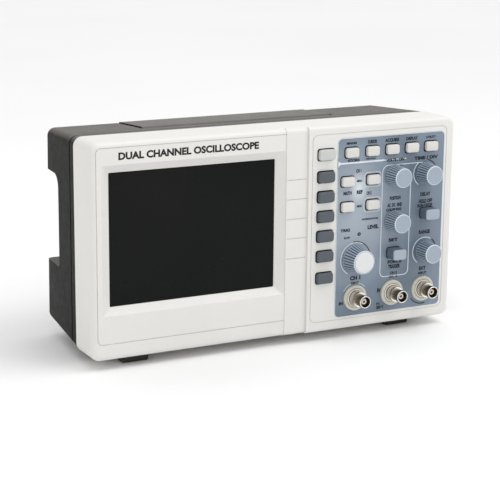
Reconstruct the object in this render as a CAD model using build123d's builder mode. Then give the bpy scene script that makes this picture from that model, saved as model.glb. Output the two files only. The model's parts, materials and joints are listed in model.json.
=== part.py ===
"""Bench oscilloscope, about 306 x 128 x 168 mm, as an assembly of separate pieces.

Row frame: +X to the right as seen from the front, +Z up, the front faces -Y, and the origin is on
the ground under the middle of the whole object. All sizes are in millimetres.

Front-view positions are (x, height): x from the middle, height above a datum a little over the bezel's
lower edge. Depths are measured backwards from the face of the control half, so proud pieces have a
negative depth.
"""

import math
import os

from build123d import *

os.makedirs("parts", exist_ok=True)

# ---------------------------------------------------------------- driving dimensions
WIDTH = 306.0
HEIGHT = 157.5  # upper edge of the bezel
LOW_EDGE = -2.6  # lower edge of the bezel
DATUM = 10.1  # height of the datum above the ground
BEZEL_DEPTH = 33.7
TOTAL_DEPTH = 111.0
BACK_LEAN = 3.8  # how far the back leans forwards from its foot to its top
REACH = 16.5  # how far the input sockets stand out of the control face
FRONT_Y = -(TOTAL_DEPTH - REACH) / 2  # the control face

CORNER_R = 7.0
OVERCUT = 0.5  # how far a cut runs on past a face
PAST = 10.0  # how far an outline runs on past the case
MIN_CORNER_R = 2.0
BEZEL_WALL = 3.0
CASE_WALL = 2.5
TALL = HEIGHT - LOW_EDGE
MID_HEIGHT = (HEIGHT + LOW_EDGE) / 2

# front blocks of the bezel: from x, to x, depth of the face, rounding of its outer edges
DISPLAY_RIGHT = 3.8
CONTROL_LEFT = 22.0
DISPLAY_FACE = 2.3
BAND_FACE = 1.7
BLOCKS = [
    (-WIDTH / 2, DISPLAY_RIGHT, DISPLAY_FACE, 4.5),
    (DISPLAY_RIGHT, CONTROL_LEFT, BAND_FACE, 4.0),
    (CONTROL_LEFT, WIDTH / 2, 0.0, 3.0),
]

# screen: low x, high x, low height, high height
RECESS = (-144.7, DISPLAY_RIGHT, 30.8, 140.8)
WINDOW = (-137.4, -3.3, 36.4, 134.7)
WINDOW_DEPTH = 7.0
WINDOW_SEAT = 7.6
WINDOW_THICKNESS = 2.0
RECESS_CORNER_R = 1.5
SCREEN_WALL = 3.5  # thickness of the bezel round the screen
SCREEN_FRAME = 2.0  # thicker frame round the recess
FRAME_OVERLAP = 1.0
WINDOW_CORNER_R = 1.0
WINDOW_MARGIN = 3.0  # how far the window reaches behind the bezel
WINDOW_MARGIN_R = 2.0

# fine grooves: a border on the display half and five lines that lead to the soft keys
BORDER = (-149.0, 30.0, 9.8, 153.6)
BORDER_R = 4.0
LINE_WIDTH = 0.6
LINE_DEPTH = 0.6
LEADERS = (118.5, 103.5, 88.5, 73.5, 58.0)
LEADER_X = (4.6, 21.2)

# control half
FACE_WALL = 3.0  # thickness of the bezel behind the controls
LABEL = (46.8, 143.8, 7.0, 147.3)
LABEL_POCKET = 0.35
LABEL_THICKNESS = 0.5
LABEL_CORNER_R = 4.0
LABEL_MARGIN = 0.1
PANEL_GROOVE = (24.8, 145.8, 5.2, 151.5)
PANEL_GROOVE_R = 5.0
PANEL_GROOVE_CUT = 0.5

SOFTKEYS = [(36.6, z) for z in (136.0, 119.0, 103.7, 88.4, 73.1, 57.5, 40.4)]
FUNCTION_KEYS = [(x, 136.0) for x in (58.8, 77.2, 95.1, 113.0, 130.7)]
MENU_KEYS = [(x, z) for z in (113.8, 94.1) for x in (55.8, 78.5)]
UPPER_BUTTON = (129.0, 83.2)
LOWER_BUTTON = (98.9, 54.1)

# width, height and corner radius of each kind of cap
SOFTKEY_CAP = (13.6, 8.2, 2.0)
PANEL_KEY_CAP = (11.0, 7.4, 1.8)
UPPER_BUTTON_CAP = (12.4, 8.2, 2.0)
LOWER_BUTTON_CAP = (11.8, 8.2, 2.0)
SOFTKEY_PROUD = 3.6
PANEL_KEY_PROUD = 3.4
UPPER_BUTTON_PROUD = 10.0
LOWER_BUTTON_PROUD = 11.0
KEY_GAP = 0.8  # dark gap round a key
BUTTON_GAP = 0.5
HOLE_CORNER_R = 2.2
KEY_EDGE_R = 0.9
FLANGE_LIP = 0.6  # how far a key's flange passes the edge of its hole
FLANGE_FRONT = FACE_WALL + 0.3
FLANGE_THICKNESS = 1.0
STEM = 4.0
STEM_END = 8.0

# name, (x, height), base radius, tip radius, number of ribs
KNOBS = [
    ("knob_top_left", (98.2, 115.3), 8.6, 7.5, 26),
    ("knob_mid_left", (98.4, 79.5), 8.4, 7.4, 26),
    ("knob_top_right", (126.4, 115.0), 8.8, 7.4, 26),
    ("knob_low_right", (128.1, 52.4), 8.6, 7.5, 26),
    ("main_knob", (64.4, 52.4), 11.6, 9.2, 30),
]
KNOB_GAP = 0.8
KNOB_LENGTH = 13.2
KNOB_SHAFT_R = 3.0
KNOB_BORE_R = 3.05
SHAFT_HOLE_R = 4.2
BUSHING_R = 3.5
MAIN_CAP_R = 8.3
MAIN_CAP_THICKNESS = 1.2

BOARD_THICKNESS = 1.6
BOARD_CORNER_R = 2.0
KEY_BOARD_FRONT = 13.0
ENCODER_SIDE = 12.0
ENCODER_FRONT = 6.5
ENCODER_CORNER_R = 0.6
ENCODER_END_GAP = 0.4
BUSHING_FRONT = 1.0
SWITCH_SIDE = 6.0
SWITCH_FRONT = 9.3
SWITCH_CORNER_R = 0.5

# BNC sockets
SOCKETS = [(64.8, 21.6), (98.5, 21.9), (127.0, 22.0)]
BARREL_R = 4.85
BARREL_NECK_R = 4.5  # behind the guiding front of the barrel
BARREL_GUIDE = 4.0
BARREL_BORE_R = 4.1
BARREL_BORE_DEPTH = 9.0
LUG_R = 1.0
LUG_REACH = 5.55
LUG_FROM_TIP = 5.2
SOCKET_THREAD_R = 6.2
SOCKET_HOLE_R = 6.5
SOCKET_FLANGE_R = 7.2
SOCKET_SHOULDER_R = 6.2
SOCKET_REAR = 12.0
COLLAR_R = 10.1
COLLAR_BORE_R = 7.4
COLLAR_HEIGHT = 1.9
COLLAR_CHAMFER = 0.5

# rear case
REAR_WIDTH = 291.0
REAR_BOTTOM = 3.0
REAR_TOP = 153.0
REAR_CORNER_R = 6.0
REAR_ROUNDING = 3.5
JOINT_INSET = 0.4
CASE_GROOVE_DEPTH = 44.0
CASE_GROOVE_WIDTH = 1.8
CASE_GROOVE_CUT = 1.1
NOTCH_FLOOR = 77.5
NOTCH_BOTTOM = 51.4
NOTCH_TOP = 121.6
NOTCH_TOP_R = 10.0
NOTCH_BOTTOM_R = 3.0
AIR_SLOT = (26.0, 3.0)
AIR_SLOT_DEPTH = 66.0
AIR_SLOT_PITCH = 9.0
AIR_SLOT_COUNT = 18

# case screws
SCREWS = [(sx * 137.0, z) for sx in (-1, 1) for z in (13.0, 146.0)]
POST_R = 3.5
POST_GAP = 1.0
POST_END = 46.0
POST_ROOT = FACE_WALL - 0.4
PILOT_R = 1.4
PILOT_SPARE = 2.0
POST_CLEARANCE = 0.3
SCREW_R = 1.35
SCREW_HEAD_R = 3.2
SCREW_HEAD_HEIGHT = 2.4
SCREW_LENGTH = 14.0
WELL_R = 3.75
WELL_WALL = 1.5
WELL_FLOOR = 49.0
WELL_HOLE_R = 1.8

# boards
BOARD_FRONT = 36.0
MAIN_BOARD = (8.0, 141.0, 22.0, 148.0)
POWER_BOARD = (-141.0, -2.0, 22.0, 148.0)
BOARD_POSTS = [(15.0, 26.5), (46.0, 26.5), (15.0, 146.5), (118.0, 146.5)]
BOARD_POSTS += [(-118.0, 26.5), (-10.0, 26.5), (-118.0, 146.0), (-10.0, 146.0)]
BOARD_POST_R = 2.8
KEY_BOARD = (28.0, 148.0, 33.0, 142.0)
KEY_BOARD_POSTS = [(48.5, 127.0), (48.5, 66.0), (115.5, 127.0), (115.5, 66.0)]
KEY_BOARD_POST_R = 2.0

# handle, in the plane of the sloping top: x, distance back along the slope
HANDLE_FRONT = 58.0  # depth of the tub's front wall
HANDLE_X = (-87.0, 75.0)
HANDLE_TUB_GAP = 1.6
HANDLE_LENGTH = 46.6
HANDLE_THICKNESS = 8.5
HANDLE_NOSE_R = HANDLE_THICKNESS / 2 - 0.01
HANDLE_EDGE_R = 2.0
HANDLE_PROUD = 0.6
HANDLE_TUB_DEPTH = 14.0
HANDLE_PIVOT = HANDLE_TUB_GAP + HANDLE_THICKNESS / 2
SCOOP_RIM = 12.0  # solid border of the handle's underside at its front and sides
SCOOP_DEPTH = 5.5
LIP_LENGTH = 6.0  # fingers hook behind this lip
LIP_EXTRA = 2.0
LIP_CLEARANCE = 3.0
PIN_R = 2.0
PIN_BORE_R = 2.06
PIN_IN_ARM = 9.0
PIN_IN_WALL = 5.5
PIN_BORE_LENGTH = 6.0
PIN_POCKET = 7.0  # solid wall round each bore
PIN_BOSS_R = 4.6

# rear panel and what it carries
PANEL = (-70.0, 120.0, 60.0, 106.0)
PANEL_THICKNESS = 1.2
PANEL_FIT = 0.1
PANEL_OPENING = (-63.5, 113.5, 62.5, 103.5)
PANEL_HEIGHT = 83.0
PANEL_SCREWS = [(x, z) for x in (-66.8, 116.8) for z in (66.0, 100.0)]
PANEL_SCREW_R = 1.45
PANEL_SCREW_HOLE_R = 1.7
PANEL_SCREW_HEAD_R = 2.7
PANEL_SCREW_HEAD_HEIGHT = 1.8
PANEL_SCREW_LENGTH = 7.0
PANEL_BOSS_R = 3.2
PANEL_BOSS_DEPTH = 8.0
FAN_X = -41.0
FAN_SIDE = 40.0
FAN_DEPTH = 10.0
FAN_BORE_R = 18.8
FAN_BLADE_R = 18.2
FAN_HUB_R = 9.5
FAN_PIN_R = 1.5
FAN_PIN_BORE_R = 1.56
VENT_R = 1.7
VENT_RINGS = [(5.0, 6), (10.0, 12), (15.0, 18)]  # radius of a ring and its number of holes
CUTOUT_FIT = 0.2
USB_X = 0.0
USB_BODY = (12.0, 11.0)
SWITCH_X = 50.0
INLET_X = 93.0
INLET_BODY = (27.0, 20.0)
INLET_FLANGE = (31.0, 24.0)
INLET_CAVITY = (24.0, 16.2)
ROCKER_CUTOUT = (13.0, 19.2)
ROCKER_FLANGE = (15.0, 21.0)
ROCKER_TILT = 8.0

# feet and tilt legs
FOOT_X = 114.0
FOOT_WIDTH = 20.0
FRONT_FOOT = (13.0, 33.0)
REAR_FOOT = (84.0, 98.0)
LEG_PIVOT = (29.0, -6.2)
LEG_SLOT = 12.0
LEG_NECK = 11.0
LEG_WIDTH = 18.0
LEG_TIP = 62.0
LEG_THICKNESS = 4.0
LEG_CLEARANCE = 4.2
LEG_PIN_R = 1.5
LEG_PIN_BORE_R = 1.56

# ---------------------------------------------------------------- planes and helpers

TOP_FALL = (HEIGHT - REAR_TOP) / (TOTAL_DEPTH - BACK_LEAN - BEZEL_DEPTH)


def front(depth):
    """The front-view plane at a depth: local x right, local y up, its normal towards the viewer."""
    return Plane(origin=(0, FRONT_Y + depth, DATUM), x_dir=(1, 0, 0), z_dir=(0, -1, 0))


def side(x):
    """The side-view plane at x: local x is depth, local y is height, its normal towards +X."""
    return Plane(origin=(x, FRONT_Y, DATUM), x_dir=(0, 1, 0), z_dir=(1, 0, 0))


def size_of(area):
    """Width and height of a (low x, high x, low height, high height) area."""
    return area[1] - area[0], area[3] - area[2]


def middle_of(area):
    """Middle of such an area."""
    return (area[0] + area[1]) / 2, (area[2] + area[3]) / 2


def grown(area, by):
    """Such an area with each side moved outwards."""
    return area[0] - by, area[1] + by, area[2] - by, area[3] + by


def finish(part, name):
    """Labels a finished piece and writes it."""
    part.label = name
    export_step(part, f"parts/{name}.step")


def case_section(depth, inset):
    """Width, low height, high height and corner radius of the rear case at a depth, inset all round."""
    along = (depth - BEZEL_DEPTH) / (TOTAL_DEPTH - BEZEL_DEPTH)
    width = WIDTH + (REAR_WIDTH - WIDTH) * along - 2 * inset
    low = LOW_EDGE + (REAR_BOTTOM - LOW_EDGE) * along + inset
    high = HEIGHT - (depth - BEZEL_DEPTH) * TOP_FALL - inset
    radius = CORNER_R + (REAR_CORNER_R - CORNER_R) * along - inset
    return width, low, high, max(radius, MIN_CORNER_R)


def back_plane(inset):
    """The leaning plane of the case's back, moved forwards by inset: its origin is at the foot of the back."""
    lean = math.atan2(BACK_LEAN, REAR_TOP - REAR_BOTTOM)
    return Plane(
        origin=(0, FRONT_Y + TOTAL_DEPTH - inset, DATUM + REAR_BOTTOM),
        x_dir=(1, 0, 0),
        z_dir=(0, -math.cos(lean), -math.sin(lean)),
    )


def case_loft(front_depth, front_inset, inset):
    """The two outlines that the case or its cavity is lofted between."""
    width, low, high, radius = case_section(front_depth, front_inset)
    with BuildSketch(front(front_depth)) as front_outline:
        with Locations((0, (low + high) / 2)):
            RectangleRounded(width, high - low, radius)
    back_tall = math.hypot(REAR_TOP - REAR_BOTTOM, BACK_LEAN)
    with BuildSketch(back_plane(inset)) as back_outline:
        with Locations((0, back_tall / 2)):
            RectangleRounded(REAR_WIDTH - 2 * inset, back_tall - 2 * inset, REAR_CORNER_R - inset / 2)
    return front_outline.sketch, back_outline.sketch


def top_plane(height):
    """A plane parallel to the sloping top of the case: local x right, local y back down the slope."""
    fall = math.atan(TOP_FALL)
    start = HEIGHT - (HANDLE_FRONT - BEZEL_DEPTH) * TOP_FALL
    surface = Plane(
        origin=(0, FRONT_Y + HANDLE_FRONT, DATUM + start),
        x_dir=(1, 0, 0),
        z_dir=(0, math.sin(fall), math.cos(fall)),
    )
    return surface.offset(height)


# ---------------------------------------------------------------- front bezel

KEY_HOLES = [(SOFTKEYS, SOFTKEY_CAP, KEY_GAP)]
KEY_HOLES += [(FUNCTION_KEYS, PANEL_KEY_CAP, KEY_GAP), (MENU_KEYS, PANEL_KEY_CAP, KEY_GAP)]
KEY_HOLES += [([UPPER_BUTTON], UPPER_BUTTON_CAP, BUTTON_GAP)]
KEY_HOLES += [([LOWER_BUTTON], LOWER_BUTTON_CAP, BUTTON_GAP)]


def is_outer(edge):
    """True for a rim edge that lies on the bezel's outline, not where two blocks meet."""
    at_side = abs(edge.center().X) > WIDTH / 2 - CORNER_R
    return at_side or abs(edge.tangent_at(0).X) > 0.5


with BuildPart() as front_bezel:
    for x_low, x_high, face, rounding in BLOCKS:
        with BuildSketch(front(BEZEL_DEPTH)) as block_outline:
            with Locations((0, MID_HEIGHT)):
                RectangleRounded(WIDTH, TALL, CORNER_R)
            with Locations(((x_low + x_high) / 2, MID_HEIGHT)):
                Rectangle(x_high - x_low, TALL, mode=Mode.INTERSECT)
        extrude(amount=BEZEL_DEPTH - face)
        rim = front_bezel.faces().sort_by(Axis.Y)[0].edges()
        fillet([edge for edge in rim if is_outer(edge)], rounding)
    # cavity, deeper behind the control half than behind the screen
    for x_low, x_high, wall_depth in (
        (-WIDTH / 2, CONTROL_LEFT, DISPLAY_FACE + SCREEN_WALL),
        (CONTROL_LEFT, WIDTH / 2, FACE_WALL),
    ):
        with BuildSketch(front(BEZEL_DEPTH)):
            with Locations((0, MID_HEIGHT)):
                outline = (WIDTH - 2 * BEZEL_WALL, TALL - 2 * BEZEL_WALL)
                RectangleRounded(*outline, CORNER_R - BEZEL_WALL)
            with Locations(((x_low + x_high) / 2, MID_HEIGHT)):
                Rectangle(x_high - x_low, TALL, mode=Mode.INTERSECT)
        extrude(amount=BEZEL_DEPTH - wall_depth, mode=Mode.SUBTRACT)
    # screen surround: a thicker frame, then the sloping walls and the opening
    with BuildSketch(front(WINDOW_SEAT)):
        with Locations(middle_of(RECESS)):
            Rectangle(*size_of(grown(RECESS, SCREEN_FRAME)))
    extrude(amount=WINDOW_SEAT - DISPLAY_FACE - FRAME_OVERLAP)
    with BuildSketch(front(DISPLAY_FACE)):
        with Locations(middle_of(RECESS)):
            RectangleRounded(*size_of(RECESS), RECESS_CORNER_R)
    with BuildSketch(front(WINDOW_DEPTH)):
        with Locations(middle_of(WINDOW)):
            RectangleRounded(*size_of(WINDOW), WINDOW_CORNER_R)
    loft(mode=Mode.SUBTRACT)
    with BuildSketch(front(WINDOW_SEAT)):
        with Locations(middle_of(WINDOW)):
            RectangleRounded(*size_of(WINDOW), WINDOW_CORNER_R)
    extrude(amount=WINDOW_SEAT - WINDOW_DEPTH + OVERCUT, mode=Mode.SUBTRACT)
    # openings for keys, buttons, knob shafts and sockets
    for places, cap, gap in KEY_HOLES:
        with BuildSketch(front(FACE_WALL)):
            with Locations(*places):
                RectangleRounded(cap[0] + 2 * gap, cap[1] + 2 * gap, HOLE_CORNER_R)
        extrude(amount=FACE_WALL, mode=Mode.SUBTRACT)
    with BuildSketch(front(FACE_WALL)):
        with Locations(*[knob[1] for knob in KNOBS]):
            Circle(SHAFT_HOLE_R)
        with Locations(*SOCKETS):
            Circle(SOCKET_HOLE_R)
    extrude(amount=FACE_WALL, mode=Mode.SUBTRACT)
    # pocket for the overlay and the thin groove round the control panel
    with BuildSketch(front(LABEL_POCKET)):
        with Locations(middle_of(LABEL)):
            RectangleRounded(*size_of(LABEL), LABEL_CORNER_R)
    extrude(amount=LABEL_POCKET, mode=Mode.SUBTRACT)
    with BuildSketch(front(PANEL_GROOVE_CUT)):
        with Locations(middle_of(PANEL_GROOVE)):
            RectangleRounded(*size_of(PANEL_GROOVE), PANEL_GROOVE_R)
            inner = grown(PANEL_GROOVE, -LINE_WIDTH)
            RectangleRounded(*size_of(inner), PANEL_GROOVE_R - LINE_WIDTH, mode=Mode.SUBTRACT)
    extrude(amount=PANEL_GROOVE_CUT, mode=Mode.SUBTRACT)
    # fine border of the display half, and the lines that lead to the soft keys
    with BuildSketch(front(DISPLAY_FACE + LINE_DEPTH)):
        with Locations(middle_of(BORDER)):
            RectangleRounded(*size_of(BORDER), BORDER_R)
            inner = grown(BORDER, -LINE_WIDTH)
            RectangleRounded(*size_of(inner), BORDER_R - LINE_WIDTH, mode=Mode.SUBTRACT)
        with Locations((DISPLAY_RIGHT, MID_HEIGHT)):
            Rectangle(WIDTH, TALL, align=(Align.MIN, Align.CENTER), mode=Mode.SUBTRACT)
    extrude(amount=LINE_DEPTH, mode=Mode.SUBTRACT)
    with BuildSketch(front(BAND_FACE + LINE_DEPTH)):
        with Locations(*[(sum(LEADER_X) / 2, height) for height in LEADERS]):
            Rectangle(LEADER_X[1] - LEADER_X[0], LINE_WIDTH)
    extrude(amount=LINE_DEPTH, mode=Mode.SUBTRACT)
    # posts for the case screws and the boards
    with BuildSketch(front(POST_END)):
        with Locations(*SCREWS):
            Circle(POST_R)
    extrude(amount=POST_END - POST_ROOT)
    with BuildSketch(front(BOARD_FRONT)):
        with Locations(*BOARD_POSTS):
            Circle(BOARD_POST_R)
    extrude(amount=BOARD_FRONT - POST_ROOT)
    with BuildSketch(front(KEY_BOARD_FRONT)):
        with Locations(*KEY_BOARD_POSTS):
            Circle(KEY_BOARD_POST_R)
    extrude(amount=KEY_BOARD_FRONT - POST_ROOT)
    with BuildSketch(front(POST_END)):
        with Locations(*SCREWS):
            Circle(PILOT_R)
    extrude(amount=SCREW_LENGTH + PILOT_SPARE, mode=Mode.SUBTRACT)
finish(front_bezel.part, "front_bezel")

# ---------------------------------------------------------------- control overlay

LABEL_FRONT = LABEL_POCKET - LABEL_THICKNESS

with BuildPart() as control_overlay:
    with BuildSketch(front(LABEL_POCKET)):
        with Locations(middle_of(LABEL)):
            RectangleRounded(*size_of(grown(LABEL, -LABEL_MARGIN)), LABEL_CORNER_R - LABEL_MARGIN)
        for places, cap, gap in KEY_HOLES[1:]:
            with Locations(*places):
                RectangleRounded(cap[0] + 2 * gap, cap[1] + 2 * gap, HOLE_CORNER_R, mode=Mode.SUBTRACT)
        with Locations(*[knob[1] for knob in KNOBS]):
            Circle(SHAFT_HOLE_R, mode=Mode.SUBTRACT)
        with Locations(*SOCKETS):
            Circle(SOCKET_HOLE_R, mode=Mode.SUBTRACT)
    extrude(amount=LABEL_THICKNESS)
finish(control_overlay.part, "control_overlay")

# ---------------------------------------------------------------- display

LCD_MARGIN = 1.5
LCD = grown(WINDOW, LCD_MARGIN)
LCD_FRONT = WINDOW_SEAT + WINDOW_THICKNESS
LCD_THICKNESS = 2.6
TRAY_WALL = 1.0
TRAY_GAP = 0.2
TRAY_CORNER_R = 1.0
TRAY_BACK = 17.0

with BuildPart() as display_window:
    with BuildSketch(front(LCD_FRONT)):
        with Locations(middle_of(WINDOW)):
            RectangleRounded(*size_of(grown(WINDOW, WINDOW_MARGIN)), WINDOW_MARGIN_R)
    extrude(amount=WINDOW_THICKNESS)
finish(display_window.part, "display_window")

with BuildPart() as lcd_panel:
    with BuildSketch(front(LCD_FRONT + LCD_THICKNESS)):
        with Locations(middle_of(LCD)):
            Rectangle(*size_of(LCD))
    extrude(amount=LCD_THICKNESS)
finish(lcd_panel.part, "lcd_panel")

with BuildPart() as lcd_frame:
    with BuildSketch(front(TRAY_BACK)):
        with Locations(middle_of(LCD)):
            RectangleRounded(*size_of(grown(LCD, TRAY_GAP + TRAY_WALL)), TRAY_CORNER_R)
    extrude(amount=TRAY_BACK - LCD_FRONT)
    with BuildSketch(front(LCD_FRONT + LCD_THICKNESS)):
        with Locations(middle_of(LCD)):
            Rectangle(*size_of(grown(LCD, TRAY_GAP)))
    extrude(amount=LCD_THICKNESS, mode=Mode.SUBTRACT)
finish(lcd_frame.part, "lcd_frame")

# ---------------------------------------------------------------- keys and buttons


def key(name, place, cap, gap, proud):
    """A key with a rounded cap, a flange that holds it behind the face, and a stem for its switch."""
    with BuildPart() as piece:
        with BuildSketch(front(FLANGE_FRONT)):
            with Locations(place):
                RectangleRounded(*cap)
        extrude(amount=FLANGE_FRONT + proud)
        fillet(piece.faces().sort_by(Axis.Y)[0].edges(), KEY_EDGE_R)
        with BuildSketch(front(FLANGE_FRONT + FLANGE_THICKNESS)):
            with Locations(place):
                reach = 2 * (gap + FLANGE_LIP)
                RectangleRounded(cap[0] + reach, cap[1] + reach, HOLE_CORNER_R)
        extrude(amount=FLANGE_THICKNESS)
        with BuildSketch(front(STEM_END)):
            with Locations(place):
                Rectangle(STEM, STEM)
        extrude(amount=STEM_END - FLANGE_FRONT - FLANGE_THICKNESS)
    finish(piece.part, name)


for number, place in enumerate(SOFTKEYS, 1):
    key(f"softkey_{number}", place, SOFTKEY_CAP, KEY_GAP, SOFTKEY_PROUD)
for number, place in enumerate(FUNCTION_KEYS, 1):
    key(f"function_key_{number}", place, PANEL_KEY_CAP, KEY_GAP, PANEL_KEY_PROUD)
for number, place in enumerate(MENU_KEYS, 1):
    key(f"menu_key_{number}", place, PANEL_KEY_CAP, KEY_GAP, PANEL_KEY_PROUD)
key("upper_push_button", UPPER_BUTTON, UPPER_BUTTON_CAP, BUTTON_GAP, UPPER_BUTTON_PROUD)
key("lower_push_button", LOWER_BUTTON, LOWER_BUTTON_CAP, BUTTON_GAP, LOWER_BUTTON_PROUD)

# ---------------------------------------------------------------- knobs, shafts and encoders

KNOB_BASE = -KNOB_GAP
KNOB_TIP = KNOB_BASE - KNOB_LENGTH
BORE_END = KNOB_TIP + 3.0
KNOB_EDGE_R = 0.6
KNOB_CROWN = 3.5  # solid end of a knob
SKIRT_WALL = 1.6
BOSS_WALL = 1.4
CAP_FIT = 0.05
CAP_PROUD = 0.3
CAP_EDGE_R = 0.3
SHAFT_END_GAP = 0.3
SHAFT_INNER_END = 11.0
GROOVE_R = 0.7
GROOVE_CUT = 0.4
GROOVE_FOOT = 0.5


def groove_planes(place, base_r, tip_r, ribs):
    """One plane at the foot of each groove, its normal running up the knob's slanting side."""
    planes = []
    for rib in range(ribs):
        bearing = 2 * math.pi * rib / ribs
        outward = Vector(math.cos(bearing), 0, math.sin(bearing))
        foot = Vector(place[0], FRONT_Y + KNOB_BASE + GROOVE_FOOT, DATUM + place[1])
        foot += outward * (base_r + GROOVE_R - GROOVE_CUT)
        slant = Vector(0, -KNOB_LENGTH, 0) - outward * (base_r - tip_r)
        planes.append(Plane(origin=foot, x_dir=outward.cross(slant), z_dir=slant))
    return planes


def knob(name, place, base_r, tip_r, ribs):
    """A tapered knob with grooves down its side, hollow round a central boss with a blind bore."""
    with BuildPart() as piece:
        with BuildSketch(front(KNOB_BASE)):
            with Locations(place):
                Circle(base_r)
        with BuildSketch(front(KNOB_TIP)):
            with Locations(place):
                Circle(tip_r)
        loft()
        fillet(piece.faces().sort_by(Axis.Y)[0].edges(), KNOB_EDGE_R)
        with BuildSketch(*groove_planes(place, base_r, tip_r, ribs)):
            Circle(GROOVE_R)
        extrude(amount=KNOB_LENGTH, mode=Mode.SUBTRACT)
        with BuildSketch(front(KNOB_BASE)):
            with Locations(place):
                Circle(tip_r - SKIRT_WALL)
                Circle(KNOB_BORE_R + BOSS_WALL, mode=Mode.SUBTRACT)
        extrude(amount=KNOB_LENGTH - KNOB_CROWN, mode=Mode.SUBTRACT)
        with BuildSketch(front(KNOB_BASE)):
            with Locations(place):
                Circle(KNOB_BORE_R)
        extrude(amount=KNOB_BASE - BORE_END, mode=Mode.SUBTRACT)
        if name == "main_knob":
            with BuildSketch(front(KNOB_TIP + MAIN_CAP_THICKNESS)):
                with Locations(place):
                    Circle(MAIN_CAP_R + CAP_FIT)
            extrude(amount=MAIN_CAP_THICKNESS, mode=Mode.SUBTRACT)
    finish(piece.part, name)


for name, place, base_r, tip_r, ribs in KNOBS:
    knob(name, place, base_r, tip_r, ribs)
    with BuildPart() as knob_shaft:
        with BuildSketch(front(SHAFT_INNER_END)):
            with Locations(place):
                Circle(KNOB_SHAFT_R)
        extrude(amount=SHAFT_INNER_END - BORE_END - SHAFT_END_GAP)
    finish(knob_shaft.part, f"{name}_shaft")

with BuildPart() as main_knob_cap:
    with BuildSketch(front(KNOB_TIP + MAIN_CAP_THICKNESS)):
        with Locations(KNOBS[-1][1]):
            Circle(MAIN_CAP_R)
    extrude(amount=MAIN_CAP_THICKNESS + CAP_PROUD)
    fillet(main_knob_cap.faces().sort_by(Axis.Y)[0].edges(), CAP_EDGE_R)
finish(main_knob_cap.part, "main_knob_cap")

with BuildPart() as encoders:
    for name, place, base_r, tip_r, ribs in KNOBS:
        with BuildSketch(front(KEY_BOARD_FRONT)):
            with Locations(place):
                RectangleRounded(ENCODER_SIDE, ENCODER_SIDE, ENCODER_CORNER_R)
        extrude(amount=KEY_BOARD_FRONT - ENCODER_FRONT)
        with BuildSketch(front(ENCODER_FRONT)):
            with Locations(place):
                Circle(BUSHING_R)
        extrude(amount=ENCODER_FRONT - BUSHING_FRONT)
        with BuildSketch(front(SHAFT_INNER_END + ENCODER_END_GAP)):
            with Locations(place):
                Circle(KNOB_BORE_R)
        extrude(amount=SHAFT_INNER_END, mode=Mode.SUBTRACT)
finish(encoders.part, "encoders")

with BuildPart() as key_switches:
    with BuildSketch(front(KEY_BOARD_FRONT)):
        with Locations(*SOFTKEYS, *FUNCTION_KEYS, *MENU_KEYS, UPPER_BUTTON, LOWER_BUTTON):
            RectangleRounded(SWITCH_SIDE, SWITCH_SIDE, SWITCH_CORNER_R)
    extrude(amount=KEY_BOARD_FRONT - SWITCH_FRONT)
finish(key_switches.part, "key_switches")

with BuildPart() as key_board:
    with BuildSketch(front(KEY_BOARD_FRONT + BOARD_THICKNESS)):
        with Locations(middle_of(KEY_BOARD)):
            RectangleRounded(*size_of(KEY_BOARD), BOARD_CORNER_R)
    extrude(amount=BOARD_THICKNESS)
finish(key_board.part, "key_board")

# ---------------------------------------------------------------- BNC sockets

SOCKET_SEAT = LABEL_FRONT
FLANGE_HEIGHT = 2.2
SHOULDER_HEIGHT = 7.9
CONTACT_TIP = -REACH + 2.2
CONTACT_TAIL = 2.0
CONTACT_R = 1.1
CONTACT_BORE_R = 0.7
INSULATOR_R = 3.1
SLEEVE_R = 2.3
BORE_FLOOR = -REACH + BARREL_BORE_DEPTH

with BuildPart() as bnc_shells:
    for radius, back, tip in (
        (SOCKET_THREAD_R, SOCKET_REAR, SOCKET_SEAT),
        (SOCKET_FLANGE_R, SOCKET_SEAT, -FLANGE_HEIGHT),
        (SOCKET_SHOULDER_R, -FLANGE_HEIGHT, -SHOULDER_HEIGHT),
        (BARREL_NECK_R, -SHOULDER_HEIGHT, BARREL_GUIDE - REACH),
        (BARREL_R, BARREL_GUIDE - REACH, -REACH),
    ):
        with BuildSketch(front(back)):
            with Locations(*SOCKETS):
                Circle(radius)
        extrude(amount=back - tip)
    for x, height in SOCKETS:
        with BuildSketch(side(x)):
            with Locations((LUG_FROM_TIP - REACH, height)):
                Circle(LUG_R)
        extrude(amount=LUG_REACH, both=True)
    with BuildSketch(front(BORE_FLOOR)):
        with Locations(*SOCKETS):
            Circle(BARREL_BORE_R)
    extrude(amount=BARREL_BORE_DEPTH, mode=Mode.SUBTRACT)
    with BuildSketch(front(SOCKET_REAR)):
        with Locations(*SOCKETS):
            Circle(INSULATOR_R)
    extrude(amount=SOCKET_REAR - BORE_FLOOR, mode=Mode.SUBTRACT)
finish(bnc_shells.part, "bnc_shells")

with BuildPart() as bnc_insulators:
    for radius, back, tip in (
        (INSULATOR_R, SOCKET_REAR, BORE_FLOOR),
        (SLEEVE_R, BORE_FLOOR, CONTACT_TIP),
    ):
        with BuildSketch(front(back)):
            with Locations(*SOCKETS):
                Circle(radius)
                Circle(CONTACT_R, mode=Mode.SUBTRACT)
        extrude(amount=back - tip)
finish(bnc_insulators.part, "bnc_insulators")

with BuildPart() as bnc_contacts:
    with BuildSketch(front(SOCKET_REAR + CONTACT_TAIL)):
        with Locations(*SOCKETS):
            Circle(CONTACT_R)
    extrude(amount=SOCKET_REAR + CONTACT_TAIL - CONTACT_TIP)
    with BuildSketch(front(BORE_FLOOR)):
        with Locations(*SOCKETS):
            Circle(CONTACT_BORE_R)
    extrude(amount=BORE_FLOOR - CONTACT_TIP, mode=Mode.SUBTRACT)
finish(bnc_contacts.part, "bnc_contacts")

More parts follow.
